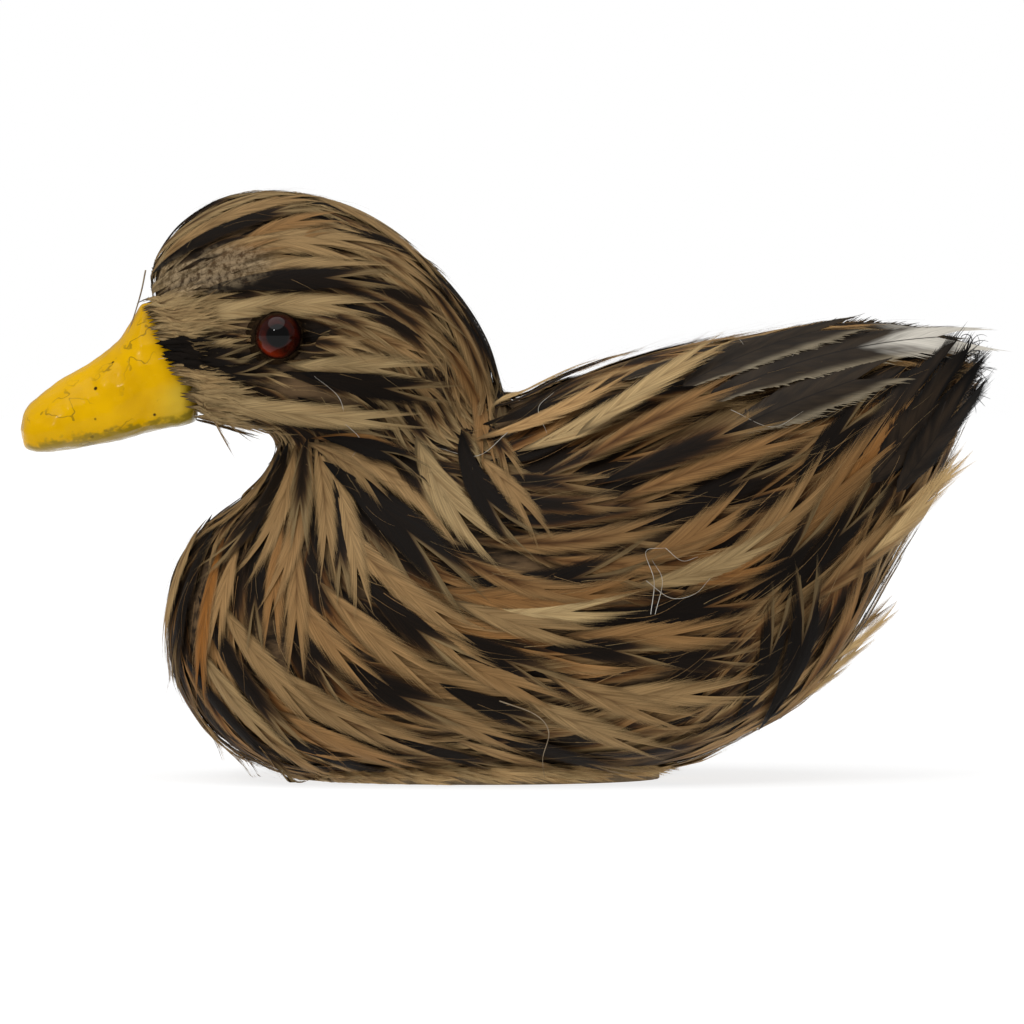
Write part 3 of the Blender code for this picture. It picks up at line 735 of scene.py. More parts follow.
# For each tract: spacing, length, half width, lift, streak, warmth and brightness.
LOOKS = {
    "crown": (5.2, (24, 32), (2.6, 3.6), 1.1, (0.1, 0.9), (0.05, 0.45), (0.38, 0.5)),
    "lore": (3.6, (12, 17), (1.5, 2.2), 0.7, (0.0, 0.2), (0.0, 0.2), (0.44, 0.56)),
    "cheek": (5.0, (20, 28), (2.4, 3.4), 1.0, (0.1, 0.8), (0.05, 0.35), (0.40, 0.52)),
    "chin": (3.9, (14, 19), (1.7, 2.4), 0.8, (0.0, 0.3), (0.1, 0.3), (0.42, 0.55)),
    "throat": (7.0, (34, 44), (3.6, 4.8), 0.9, (0.1, 0.7), (0.3, 0.6), (0.36, 0.48)),
    "nape": (6.4, (32, 42), (3.4, 4.6), 1.3, (0.45, 0.95), (0.05, 0.35), (0.32, 0.46)),
    "neck_side": (7.0, (36, 46), (4.2, 5.6), 1.3, (0.1, 0.9), (0.1, 0.45), (0.36, 0.48)),
    "breast": (9.6, (40, 52), (5.0, 6.6), 1.4, (0.1, 0.9), (0.2, 0.7), (0.34, 0.48)),
    "shoulder": (9.8, (42, 54), (5.4, 7.0), 1.5, (0.1, 0.9), (0.3, 0.75), (0.34, 0.48)),
    "side": (9.8, (42, 54), (5.4, 7.0), 1.5, (0.1, 0.9), (0.2, 0.65), (0.36, 0.48)),
    "belly": (9.0, (34, 44), (4.6, 6.0), 1.3, (0.05, 0.5), (0.1, 0.4), (0.44, 0.56)),
    "mantle": (9.2, (38, 50), (4.6, 6.2), 2.2, (0.1, 0.9), (0.1, 0.6), (0.38, 0.52)),
    "wing_covert": (9.8, (42, 54), (5.4, 7.0), 1.5, (0.2, 0.95), (0.3, 0.8), (0.34, 0.46)),
    "flank": (9.8, (42, 54), (5.4, 7.0), 1.5, (0.15, 0.95), (0.3, 0.75), (0.34, 0.46)),
    "rump": (9.6, (36, 46), (5.4, 7.0), 1.2, (0.7, 1.1), (0.0, 0.3), (0.26, 0.38)),
    "vent": (9.0, (36, 46), (5.0, 6.6), 1.5, (0.1, 0.8), (0.3, 0.7), (0.36, 0.5)),
    "undertail": (8.8, (26, 34), (4.6, 6.0), 1.2, (0.1, 0.5), (0.1, 0.4), (0.42, 0.56)),
    "tail_base": (5.5, (5, 8), (2.0, 3.0), 0.7, (0.9, 1.2), (0.0, 0.2), (0.22, 0.30)),
}
# For the placed feathers: height of the root over the skin, and the rise from there to the tip.
USUAL_HEIGHTS = (1.5, 1.5)
PLACED_HEIGHTS = {
    "crown": (1.2, 0.9), "lore": (1.0, 0.9), "cheek": (1.3, 1.1), "chin": (1.0, 0.9),
    "throat": (0.8, 1.2), "nape": (1.4, 1.1), "neck_side": (2.0, 1.4), "mantle": (2.2, 1.4),
}
# Tracts that are darker, or paler, than the feathers' own brightness. Adjusted until mean colours
# came close to those measured in the photograph.
TONES = {
    "neck_side": 0.78, "nape": 0.80, "wing_covert": 0.84, "rump": 0.83, "flank": 0.95, "side": 0.94,
    "mantle": 1.20, "breast": 1.08, "throat": 0.96, "lore": 0.93, "crown": 0.97,
}


def tract_of(node):
    return node.split("_feathers")[0]


ROOT_DRAWS = 26000  # far more than are kept


def scattered_roots(skin, spacing):
    """Roots spread evenly over the skin, further apart where the tract's feathers are larger."""
    halves = [(f[0], f[1], f[2]) for f in skin.faces] + [(f[0], f[2], f[-1]) for f in skin.faces]
    corners = np.array(halves)
    a, b, c = (skin.points[corners[:, k]] for k in range(3))
    areas = np.linalg.norm(np.cross(b - a, c - a), axis=1)
    picks = rng.choice(len(corners), ROOT_DRAWS, p=areas / areas.sum())
    u, v = rng.random((2, len(picks), 1))
    flip = u + v > 1
    u, v = np.where(flip, 1 - u, u), np.where(flip, 1 - v, v)
    spots = a[picks] + u * (b[picks] - a[picks]) + v * (c[picks] - a[picks])
    cell, cells, kept = 4.0, {}, []
    for spot in spots:
        node = skin.owner(spot)
        radius = spacing(node)
        key = tuple((spot // cell).astype(int))
        reach = int(radius // cell) + 1
        span = range(-reach, reach + 1)
        near = (
            other
            for i in span for j in span for k in span
            for other in cells.get((key[0] + i, key[1] + j, key[2] + k), ())
        )
        if all(np.sum((spot - other) ** 2) > radius * radius for other in near):
            cells.setdefault(key, []).append(spot)
            kept.append((spot, node))
    return kept


EYE_OUT = 21.0  # from the middle plane to a bead's centre
EYES = []
for side_name in ("left", "right"):
    low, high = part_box("eye_glass_" + side_name)
    middle = (low + high) / 2 / MM
    EYES.append(np.array([middle.x, math.copysign(EYE_OUT, middle.y), middle.z]))
TAIL_END = 121.0
COAT_END, SMALL_FEATHERS_END = 118.0, 110.0  # the tail base alone grows between them
# At the tail's root the coat is dark: in part dark feathers, in part painted shade under the quills.
DARK_BEHIND, DARK_ABOVE = 82.0, 90.0  # the coat is dark there, at the tail's root
EYE_RADIUS = 6.0
EYE_CLEAR = 6.1
EYE_EDGE, EYE_PARTING = 5.6, 0.5  # feathers that would cross an eye are pushed out round it
PAD_LOW, PAD_HIGH = (np.array(corner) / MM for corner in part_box("base_pad"))


def under_pad(spot):
    middle, half = (PAD_LOW + PAD_HIGH) / 2, (PAD_HIGH - PAD_LOW) / 2
    return spot[2] < 5.5 and np.sum(((spot - middle)[:2] / (half[:2] + 1.0)) ** 2) < 1.0


def grow_coat(skin, coat):
    """Every tract's own feathers, one piece for each tract."""
    tracts = {node: Plumage(skin) for node in SOFT_NODES}
    forms = {"head": FeatherForm(44), "body": FeatherForm(60)}
    for number, (spot, node) in enumerate(scattered_roots(skin, lambda n: LOOKS[tract_of(n)][0])):
        tract = tract_of(node)
        _, lengths, halves, lift, streaks, warmths, brights = LOOKS[tract]
        local = np.random.default_rng(1000 + number)
        length, half = local.uniform(*lengths), local.uniform(*halves)
        on_head = tract in HEAD_TRACTS
        guides = GUIDES["head" if on_head else "body"]
        turn = math.radians(local.normal(0, 7 if on_head else 8))
        past_small = spot[0] > SMALL_FEATHERS_END and tract != "tail_base"
        if under_pad(spot) or past_small or spot[0] > COAT_END:
            continue
        eye = min(EYES, key=lambda e: np.linalg.norm(e - spot))
        away = np.linalg.norm(eye - spot)
        if away < EYE_CLEAR:
            continue
        plumage = tracts[node]
        ahead = flow(spot, guides)
        if ahead[0] > 0.1:
            length = min(length, max((TAIL_END - spot[0]) / ahead[0], 6.0))
            half = min(half, 0.22 * length)
        points, normals = plumage.spine_by_flow(spot, guides, length, turn)
        gap = np.linalg.norm(points - eye, axis=1).min()
        if gap < EYE_CLEAR + 0.4:
            keep = max(away - EYE_CLEAR, 4.0)
            points, normals = plumage.spine_by_flow(spot, guides, keep, turn)
            half = min(half, keep * 0.25)
            if np.linalg.norm(points - eye, axis=1).min() < EYE_CLEAR - 0.6:
                continue
        look = {
            "half": half, "lift": lift * local.uniform(0.8, 1.2),
            "base": 0.15 + 0.25 * local.random(),
            "streak": local.uniform(*streaks), "warmth": local.uniform(*warmths),
            "bright": local.uniform(*brights) * TONES.get(tract, 1.0), "fray": local.uniform(0.25, 0.5),
            "roll": math.radians(local.normal(0, 3)),
        }
        # Painted shade under the quills at the tail's root, in part dark feathers: the coat there is made
        # dark.
        if spot[0] > DARK_BEHIND and spot[2] > DARK_ABOVE:
            look.update(streak=1.2, bright=0.26, warmth=0.1)
        plumage.add(forms["head" if on_head else "body"], points, normals, look, 5000 + number)
    grow_placed(skin, tracts)
    grow_face(skin, tracts)
    grow_tufts(skin, tracts)
    for node, plumage in tracts.items():
        piece = plumage.build(node + "_plumage", coat)
        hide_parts(node)
        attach(piece, "root")


# The large feathers that show, in the side view: root x, z, tip x, z, bend, half width, streak,
# warmth, brightness and fray, and in some rows an extra height of the root over the skin. The left
# side has them as they stand, the right side a little moved. These places come from the photograph:
# they were noted on it by eye, and another program turned them into millimetres and printed most of
# these rows. The part's report says how many, under "Rules not met".
PLACED = (
    # crown and head
    (-92, 123, -77, 132, 0.06, 2.3, 0.15, 0.02, 0.52, 0.3),
    (-90, 121, -70, 131, 0.05, 2.3, 0.35, 0.1, 0.46, 0.3),
    (-92, 120, -76, 125, 0.05, 2, 0.1, 0.02, 0.58, 0.3),
    (-81, 125, -62, 130, 0.03, 2.3, 0.3, 0.2, 0.46, 0.3),
    (-78, 128, -56, 136, 0.06, 2.6, 0.15, 0.55, 0.4, 0.3),
    (-70, 132, -46, 139, 0.05, 2.6, 0.15, 0.55, 0.4, 0.3),
    (-93, 125, -61, 150, 0.14, 2, 0.95, 0.05, 0.34, 0.3),
    (-92, 125, -49, 149, 0.15, 2, 0.2, 0.1, 0.46, 0.35),
    (-89, 127, -46, 147, 0.13, 2.3, 0.1, 0.3, 0.44, 0.35),
    (-85, 131, -48, 145, 0.08, 1.8, 0.95, 0.1, 0.32, 0.35),
    (-81, 132, -42, 142, 0.08, 2.3, 0.1, 0.55, 0.42, 0.4),
    (-64, 135, -29, 132, 0.08, 2.8, 0.05, 0.2, 0.46, 0.4),
    (-74, 132, -36, 131, 0.1, 2.8, 0.08, 0.25, 0.46, 0.4),
    (-76, 126, -30, 128, 0.06, 2.6, 0.1, 0.18, 0.46, 0.45),
    (-66, 147, -23, 134, 0.1, 2, 0.1, 0.15, 0.48, 0.4), (-55, 146, -25, 135, 0.07, 2, 0.8, 0.1, 0.34, 0.4),
    (-49, 145, -18, 125, 0.09, 2.3, 0.08, 0.25, 0.46, 0.45),
    (-43, 138, -15, 125, 0.08, 2.3, 0.75, 0.15, 0.36, 0.4),
    (-46, 135, -17, 118, 0.1, 2.6, 0.25, 0.25, 0.44, 0.5),
    (-70, 125, -29, 126, 0.03, 2.8, 1.1, 0.1, 0.30, 0.35, 0.7),
    (-91, 118, -54, 122, -0.02, 2.8, 0.03, 0.02, 0.56, 0.35),
    (-70, 120, -32, 119, 0.03, 2.6, 0.03, 0.08, 0.52, 0.5),
    (-91, 116, -64, 116, -0.08, 2.3, 0.03, 0, 0.58, 0.35),
    (-90, 113, -65, 112, -0.06, 2, 0.05, 0.02, 0.5, 0.3),
    (-54, 118, -27, 109, 0.08, 2.3, 0.3, 0.15, 0.46, 0.5),
    (-40, 125, -13, 110, 0.1, 2.3, 0.7, 0.2, 0.38, 0.5),
    (-44, 123, -14, 104, 0.1, 2.3, 0.35, 0.25, 0.42, 0.55),
    (-39, 118, -14, 101, 0.1, 2.6, 0.6, 0.25, 0.4, 0.55),
    (-88, 107.5, -64, 109, -0.02, 2.9, 1.3, 0, 0.22, 0.2, 1.3),
    (-84, 105, -58, 105, -0.04, 2.4, 1.3, 0, 0.24, 0.3, 0.9),
    (-55, 111, -41, 114, 0.06, 1.5, 1.2, 0.05, 0.26, 0.4),
    (-53, 109, -36, 111, 0.03, 1.8, 0.4, 0.15, 0.46, 0.4),
    (-85, 102, -45, 99, -0.03, 2.6, 0.15, 0.5, 0.44, 0.35, 0.6),
    (-52, 105, -18, 103, 0.02, 3.1, 0.03, 0.02, 0.52, 0.45),
    (-43, 114, -16, 104, 0.04, 2.3, 0.2, 0.35, 0.44, 0.55),
    (-76, 98, -22, 91, -0.02, 2.9, 0.08, 0.02, 0.56, 0.5, 0.8),
    (-48, 103, -14, 98, -0.02, 3.2, 1.05, 0.1, 0.28, 0.35, 0.7),
    (-68, 94, -28, 84, 0.04, 2.2, 0.9, 0.05, 0.28, 0.4, 0.2),
    (-83, 101, -54, 90, -0.1, 2.6, 0.08, 0.08, 0.54, 0.35),
    (-78, 94, -50, 88, -0.05, 2, 0.1, 0.15, 0.5, 0.35),
    # nape
    (-21, 128, -4, 92, 0.12, 2.3, 0.95, 0.05, 0.3, 0.3),
    (-19, 123, -3, 79, 0.12, 2.6, 0.85, 0.1, 0.32, 0.3),
    (-23, 123, -6, 84, 0.1, 2.6, 0.25, 0.35, 0.42, 0.35),
    (-19, 110, -5, 77, 0.08, 2.3, 0.2, 0.6, 0.38, 0.35), (-18, 99, -8, 77, 0.05, 2.0, 0.3, 0, 0.42, 0.3),
    (-10, 92, 2, 74, 0.08, 2, 0.4, 0.35, 0.4, 0.5),
    # neck side
    (-54, 91, -21, 75, 0.04, 3.1, 1.2, 0.05, 0.24, 0.3, 0.8),
    (-38, 90, -16, 66, 0.03, 2.8, 0.9, 0.05, 0.36, 0.4, 0.3),
    (-28, 92, -1, 55, -0.08, 3.9, 0.04, 0.05, 0.5, 0.35, 0.9),
    (-17, 93, 7, 58, -0.12, 3.1, 1.1, 0.05, 0.24, 0.35, 1.6),
    (-7, 79, 9, 59, 0.06, 2.3, 0.1, 0.35, 0.46, 0.5), (-52, 88, -26, 79, 0.1, 2.3, 0.1, 0.85, 0.38, 0.3),
    (-46, 84, -10, 57, 0.06, 2.6, 0.08, 0.3, 0.46, 0.45),
    (-46, 79, -12, 56, -0.02, 2.3, 0.3, 0.2, 0.44, 0.5),
    (-42, 75, -9, 43, 0.03, 4.4, 1.2, 0.05, 0.24, 0.3, 0.7),
    (-44, 66, -8, 36, -0.06, 2.3, 0.1, 0.35, 0.44, 0.4),
    # throat
    (-54, 91, -81, 61, 0.12, 2.8, 0.12, 0.3, 0.46, 0.35),
    (-54, 89, -78, 51, 0.1, 2.3, 0.95, 0.1, 0.3, 0.35), (-53, 88, -68, 49, 0.07, 2.6, 0.1, 0.35, 0.44, 0.4),
    (-51, 87, -62, 41, 0.06, 2.3, 0.12, 0.45, 0.44, 0.4),
    (-51, 87, -53, 56, -0.02, 2.8, 0.35, 0.05, 0.42, 0.45),
    (-49, 85, -46, 49, 0.02, 2.3, 0.15, 0.3, 0.44, 0.45), (-48, 82, -42, 43, 0.03, 2, 0.9, 0.1, 0.32, 0.4),
    (-46, 79, -37, 41, 0.03, 2.3, 0.1, 0.25, 0.48, 0.5), (-49, 84, -31, 68, 0.05, 2, 0.15, 0.3, 0.46, 0.5),
    # breast
    (-78, 61, -86, 30, -0.08, 2, 0.15, 0.2, 0.52, 0.35),
    (-76, 57, -83, 20, -0.08, 2.3, 0.95, 0.1, 0.28, 0.35),
    (-73, 55, -77, 19, -0.05, 2, 0.05, 1, 0.38, 0.35), (-69, 56, -74, 31, -0.04, 2.6, 0.06, 0.4, 0.46, 0.4),
    (-63, 61, -64, 31, -0.02, 2.3, 0.95, 0.1, 0.28, 0.4),
    (-58, 60, -60, 32, -0.02, 2.3, 0.05, 0.7, 0.42, 0.4),
    (-54, 56, -54, 26, 0, 2.6, 0.15, 0.45, 0.44, 0.45), (-75, 41, -51, 8, -0.06, 2, 0.8, 0.15, 0.34, 0.35),
    (-70, 41, -46, 14, -0.05, 2.6, 0.1, 0.3, 0.46, 0.45),
    (-76, 31, -54, 7, -0.06, 2.3, 0.15, 0.15, 0.5, 0.4),
    (-78, 27, -49, -1, -0.07, 2.3, 0.9, 0.1, 0.3, 0.35),
    (-83, 26, -61, 2, -0.08, 2.3, 0.12, 0.1, 0.54, 0.4),
    (-70, 20, -41, -1, -0.05, 2.3, 0.12, 0.35, 0.46, 0.4),
    (-56, 41, -40, 19, -0.03, 2.3, 0.8, 0.15, 0.32, 0.45),
    (-54, 46, -33, 23, -0.04, 2.6, 0.1, 0.5, 0.44, 0.5),
    (-44, 46, -16, 23, -0.04, 2.8, 0.1, 0.4, 0.46, 0.55),
    (-35, 49, -8, 28, -0.05, 2.8, 0.85, 0.1, 0.32, 0.4),
    (-28, 46, -3, 26, -0.05, 2.6, 0.1, 0.4, 0.44, 0.45),
    (-62, 29, -28, 10, -0.04, 2.8, 0.15, 0.3, 0.44, 0.45),
    (-58, 24, -14, 8, -0.04, 3.3, 0.2, 0.35, 0.42, 0.45),
    (-43, 30, -9, 16, -0.05, 3.1, 0.85, 0.15, 0.3, 0.3),
    (-54, 16, -21, 4, -0.04, 2.3, 0.05, 0.55, 0.46, 0.4),
    (-59, 13, -21, 1, -0.05, 2.6, 0.95, 0.1, 0.28, 0.35),
    (-49, 7, -10, -3, -0.03, 2.3, 0.1, 0.2, 0.54, 0.45),
    # lower side
    (-18, 36, 17, 22, 0.02, 3.1, 0.85, 0.15, 0.3, 0.35), (-14, 30, 15, 19, 0, 3.1, 0.1, 0.45, 0.44, 0.35),
    (-14, 23, 13, 13, -0.02, 2.6, 0.9, 0.1, 0.28, 0.4), (-23, 20, 7, 9, -0.03, 2.8, 0.1, 0.35, 0.44, 0.45),
    (-24, 10, 2, 4, -0.02, 2.6, 0.8, 0.1, 0.32, 0.4), (-10, 10, 28, 1, -0.03, 2.6, 0.15, 0.3, 0.5, 0.45),
    (0, 12, 36, 3, -0.03, 2.6, 0.85, 0.15, 0.32, 0.45), (13, 26, 48, 15, -0.03, 2.8, 0.15, 0.3, 0.46, 0.5),
    (7, 20, 41, 8, -0.03, 2.8, 0.12, 0.2, 0.5, 0.55), (23, 9, 62, 18, -0.08, 2.6, 0.45, 0.25, 0.44, 0.5),
    (18, 4, 56, 9, -0.06, 2.3, 0.15, 0.25, 0.54, 0.45), (13, 33, 42, 31, 0.02, 3.1, 0.8, 0.15, 0.32, 0.4),
    (25, 23, 63, 25, -0.04, 3.1, 0.1, 0.25, 0.5, 0.55), (36, 31, 63, 32, -0.02, 2.8, 0.8, 0.2, 0.32, 0.5),
    (20, 37, 60, 39, -0.03, 3.1, 0.1, 0.55, 0.42, 0.5),
    # middle side
    (-10, 56, 23, 47, -0.08, 2.3, 0.2, 0.55, 0.4, 0.4), (-3, 76, 28, 74, -0.02, 2.3, 0.55, 0.3, 0.38, 0.45),
    (-5, 72, 33, 70, -0.05, 2.3, 0.6, 0.4, 0.36, 0.45), (0, 66, 48, 73, -0.04, 2.3, 0.5, 0.45, 0.38, 0.5),
    (-3, 61, 43, 66, -0.06, 2.3, 0.2, 0.5, 0.4, 0.5), (-5, 52, 37, 59, -0.1, 3.1, 0.9, 0.15, 0.28, 0.4),
    (-13, 49, 36, 51, -0.08, 2.6, 0.1, 0.7, 0.42, 0.5),
    (-10, 44, 23, 36, -0.04, 2.8, 0.05, 0.25, 0.5, 0.45), (-3, 43, 32, 45, -0.04, 2.6, 0.02, 0, 0.8, 0.5),
    (13, 56, 46, 56, -0.05, 2.3, 0.2, 0.6, 0.42, 0.5), (32, 43, 68, 50, -0.06, 4.3, 1, 0.6, 0.28, 0.45),
    (33, 56, 62, 74, -0.06, 3.1, 0.04, 0.6, 0.42, 0.35),
    (36, 51, 71, 65, -0.07, 2.3, 0.05, 0.08, 0.56, 0.45),
    (46, 51, 69, 58, -0.06, 2.3, 0.15, 0.8, 0.42, 0.5),
    # mantle
    (-3, 94, 23, 106, 0.06, 2, 0.12, 0.1, 0.68, 0.45, 0.3), (0, 96, 36, 109, 0.05, 2, 0.6, 0.25, 0.4, 0.4),
    (-3, 90, 27, 101, -0.04, 2.8, 0.9, 0.1, 0.3, 0.4),
    (-3, 87, 33, 103, -0.05, 2.4, 0.1, 0.35, 0.58, 0.45, 0.4),
    (-2, 81, 18, 87, -0.06, 3.3, 1.1, 0.05, 0.26, 0.4),
    (7, 84, 38, 99, -0.04, 3.3, 0.06, 0.05, 0.78, 0.4, 0.9),
    (23, 87, 58, 108, 0.02, 2.6, 0.1, 0.05, 0.56, 0.5, 3.4), (28, 95, 53, 108, 0.02, 2, 0.7, 0.15, 0.34, 0.4),
    (13, 78, 46, 93, 0, 2.4, 0.3, 0.25, 0.52, 0.4, 0.6),
    (24, 81, 61, 99, 0.02, 2.6, 0.2, 0.6, 0.44, 0.55, 3.2),
    (30, 76, 69, 91, 0, 2.8, 0.6, 0.35, 0.38, 0.55, 2.8),
    (33, 72, 77, 88, 0, 2.3, 0.15, 0.6, 0.44, 0.55, 1.6),
    # rear side
    (38, 66, 75, 86, -0.03, 3.3, 0.95, 0.15, 0.26, 0.4),
    (48, 51, 82, 82, -0.06, 3.1, 0.06, 0.45, 0.44, 0.45),
    (59, 46, 81, 72, -0.05, 3.1, 0.95, 0.1, 0.26, 0.35), (67, 54, 99, 91, 0.02, 3.8, 0.06, 0.65, 0.36, 0.4),
    (75, 77, 95, 98, 0.03, 3.6, 1.1, 0.05, 0.26, 0.35), (81, 69, 104, 95, 0.02, 2.6, 0.12, 0.85, 0.42, 0.4),
    (63, 17, 74, 56, -0.1, 3.4, 1.3, 0.1, 0.20, 0.25, 0.8),
    (57, 18, 68, 50, -0.08, 2.8, 1.2, 0.1, 0.22, 0.3), (71, 51, 94, 77, -0.04, 2.8, 1, 0.05, 0.26, 0.35),
    (66, 13, 91, 57, -0.06, 3.1, 0.25, 0.6, 0.4, 0.4), (59, 10, 84, 36, -0.06, 2.6, 0.15, 0.35, 0.46, 0.45),
    (74, 15, 99, 61, -0.06, 2.3, 0.35, 0.15, 0.5, 0.4), (83, 28, 104, 66, -0.05, 2, 0.5, 0.1, 0.48, 0.35),
    (79, 49, 110, 79, -0.03, 3.1, 0.2, 0.45, 0.42, 0.4),
    (87, 56, 115, 81, -0.05, 3.3, 0.04, 0.12, 0.6, 0.5),
)


# Pale frayed ends that stand off the outline under the tail, read off the photograph:
# root x, z, tip x, z, half width and brightness.
TUFTS = (
    (93, 60, 115.5, 86, 2.6, 0.9), (89, 57, 111.5, 79, 2.8, 0.8), (96, 68, 117, 83.5, 2.2, 0.95),
    (81, 31, 98.5, 46, 1.7, 0.9), (77, 26, 92, 38.5, 1.9, 0.8), (72, 21, 86, 32, 1.7, 0.75),
)


def grow_tufts(skin, tracts):
    """The pale frayed ends under the tail."""
    form = FeatherForm(48)
    for sign in (-1, 1):
        plumage = tracts["vent_feathers_" + ("left" if sign < 0 else "right")]
        for number, (x0, z0, x1, z1, half, bright) in enumerate(TUFTS):
            hit = skin.from_side(x0, z0, sign)
            y = hit[0][1] if hit else sign * 14.0
            start, end = np.array([x0, y, z0]), np.array([x1, 0.75 * y, z1])
            points = start + STEPS * (end - start)
            points[:, 0] += 0.6 * np.sin(math.pi * STEPS[:, 0])
            normals = unit(np.tile([0.3, sign * 1.0, -0.3], (STATIONS, 1)))
            look = {
                "half": half, "lift": 1.0, "base": 1.2, "streak": 0.03, "warmth": 0.08,
                "bright": bright, "fray": 0.75, "free": True,
            }
            plumage.add(form, points, normals, look, 8000 + number + 20 * sign)


UNDER_TAIL_X, UNDER_TAIL_Z = 40.0, 40.0
ROOT_TRIES, ROOT_STEP = 12, 0.07


def moved_root(skin, start, end, sign, is_good):
    """A feather's root, moved towards its tip until what it meets on the skin is good."""
    for _ in range(ROOT_TRIES):
        if is_good(skin.from_side(*start, sign)):
            break
        start = start + ROOT_STEP * (end - start)
    return start


def grow_placed(skin, tracts):
    """The large feathers of PLACED, on both sides."""

    def clear_of_face(hit):
        return hit is None or tract_of(skin.owner(hit[0])) not in FACE_TRACTS

    forms = {"head": FeatherForm(72), "body": FeatherForm(92)}
    for sign in (-1, 1):
        for number, row in enumerate(PLACED):
            local = np.random.default_rng(9000 + number + (500 if sign > 0 else 0))
            moved = local.normal(0, 1.8, 4) * (sign > 0)
            start, end = np.array(row[:2]) + moved[:2], np.array(row[2:4]) + moved[2:]
            bend, half, streak, warmth, bright, fray, *extra = row[4:]
            hidden = 0.16 * (end - start)
            middle = skin.from_side(*((start + end) / 2), sign)
            node = skin.owner(middle[0] if middle else ((start + end) / 2)[[0, 0, 1]] * (1, 0, 1))
            on_head = tract_of(node) in HEAD_TRACTS
            half *= 1.3 if on_head else 1.5
            base, lift = PLACED_HEIGHTS.get(tract_of(node), USUAL_HEIGHTS)
            plumage = tracts[node]
            start = start - hidden
            if tract_of(node) not in FACE_TRACTS:
                # A root that the face hides in the side view starts where the face ends.
                start = moved_root(skin, start, end, sign, clear_of_face)
            if start[0] > UNDER_TAIL_X and start[1] < UNDER_TAIL_Z:
                # Under the tail a root stays on the side that shows.
                start = moved_root(skin, start, end, sign, lambda hit: hit is not None)
            points, normals = plumage.spine_between(start, end, bend, sign)
            if plumage.off_side > 5 and sign > 0 and start[0] > UNDER_TAIL_X:
                continue
            if plumage.off_side > 1:
                base, lift, half = 0.8 * base, 0.8 * lift, 0.8 * half
            bright *= TONES.get(tract_of(node), 1.0)
            if extra:
                base += extra[0]
            look = {
                "half": half, "lift": lift, "base": base,
                "streak": streak, "warmth": warmth, "bright": bright, "fray": fray,
                "roll": math.radians(local.normal(0, 2)),
            }
            plumage.add(forms["head" if on_head else "body"], points, normals, look, 9000 + number)


OUTSIDE = 200.0  # further out than any part of the duck
FACE_FEATHERS = 120  # on each side
# Where the face feathers start: x and z down the bill's root, read off the photograph.
BILL_EDGE = ((-93.0, 121.0), (-90.6, 115.0), (-87.8, 108.5), (-84.0, 101.5), (-81.0, 93.0))


def bill_tree():
    """The bill's CAD surface, in millimetres, for rays to meet."""
    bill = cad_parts["bill"].data
    return BVHTree.FromPolygons(
        [tuple(v.co / MM) for v in bill.vertices], [tuple(p.vertices) for p in bill.polygons]
    )


def cast_from_side(tree, x, z, sign):
    """Where a level ray from one side meets the surface, and the surface's normal there."""
    return tree.ray_cast(Vector((x, sign * OUTSIDE, z)), Vector((0, -sign, 0)))[:2]


def grow_face(skin, tracts):
    """Short fine feathers that overlap the bill's root."""
    form = FeatherForm(36)
    tree = bill_tree()
    line = np.array(BILL_EDGE)
    for sign in (-1, 1):
        plumage = tracts["lore_feathers_" + ("left" if sign < 0 else "right")]
        for number in range(FACE_FEATHERS):
            local = np.random.default_rng(3000 + number + 50 * sign)
            at = catmull(np.array([4 * (number + local.random()) / FACE_FEATHERS]), 5) @ line
            x, z = at[0] + (local.uniform(-1.8, 1.6), local.normal(0, 0.5))
            heading = math.radians(np.interp(z, (92, 100, 110, 122), (-10, -9, 3, 18)) + local.normal(0, 5))
            length = local.uniform(12, 19)
            points, normals = [], []
            for step in np.linspace(0, length, STATIONS):
                px, pz = x + step * math.cos(heading), z + step * math.sin(heading)
                hits = [skin.from_side(px, pz, sign)]
                found, normal = cast_from_side(tree, px, pz, sign)
                if found is not None:
                    hits.append((np.array(found) + np.array(normal) * 0.2, np.array(normal)))
                hits = [hit for hit in hits if hit is not None]
                if not hits and not points:
                    break
                if not hits:  # over the gap between the bill and the face
                    hits = [(points[-1] + (px - points[-1][0], 0, pz - points[-1][2]), normals[-1])]
                hit = max(hits, key=lambda h: sign * h[0][1])
                if points:
                    hit[0][1] = sign * max(sign * hit[0][1], sign * points[-1][1] - 0.4)
                points.append(hit[0])
                normals.append(hit[1])
            if len(points) < STATIONS:
                continue
            points = np.array(points)
            for _ in range(8):  # a smooth rise from the bill on to the face
                level = sign * points[:, 1]
                points[1:-1, 1] = sign * np.maximum(level[1:-1], (level[:-2] + level[2:]) / 2)
            stripe = 105.5 < z < 111.5
            look = {
                "half": local.uniform(0.9, 1.5), "lift": 1.1, "base": 1.1 + 0.8 * local.random(),
                "streak": 1.2 if stripe else local.uniform(0.0, 0.2), "warmth": local.uniform(0, 0.15),
                "bright": local.uniform(0.2, 0.26) if stripe else local.uniform(0.46, 0.6),
                "fray": 0.55,
            }
            normals = np.array(normals)
            normals[1:-1] += normals[:-2] + normals[2:]
            plumage.add(form, points, unit(normals), look, 3000 + number)


# ---------------------------------------------------------------- quills of the wings and tail

# Root and tip in the side view, read off the photograph, bend, half width, lift above the
# coat, pale tip, both edges pale.
GREY_QUILLS = {
    "wing_quill_upper": ((44.0, 97.0), (91.5, 112.5), 0.05, 5.6, 4.2, 0.0, 0.0),
    "wing_quill_middle": ((50.0, 94.0), (121.5, 109.5), 0.065, 6.2, 3.7, 1.0, 0.0),
    "wing_quill_lower": ((54.0, 86.0), (101.0, 103.5), 0.03, 6.0, 3.3, 0.0, 0.0),
}
LONG_SCAPULAR = ((28.0, 100.0), (86.0, 113.0), 0.03, 4.6, 2.0, 0.0, 0.0)
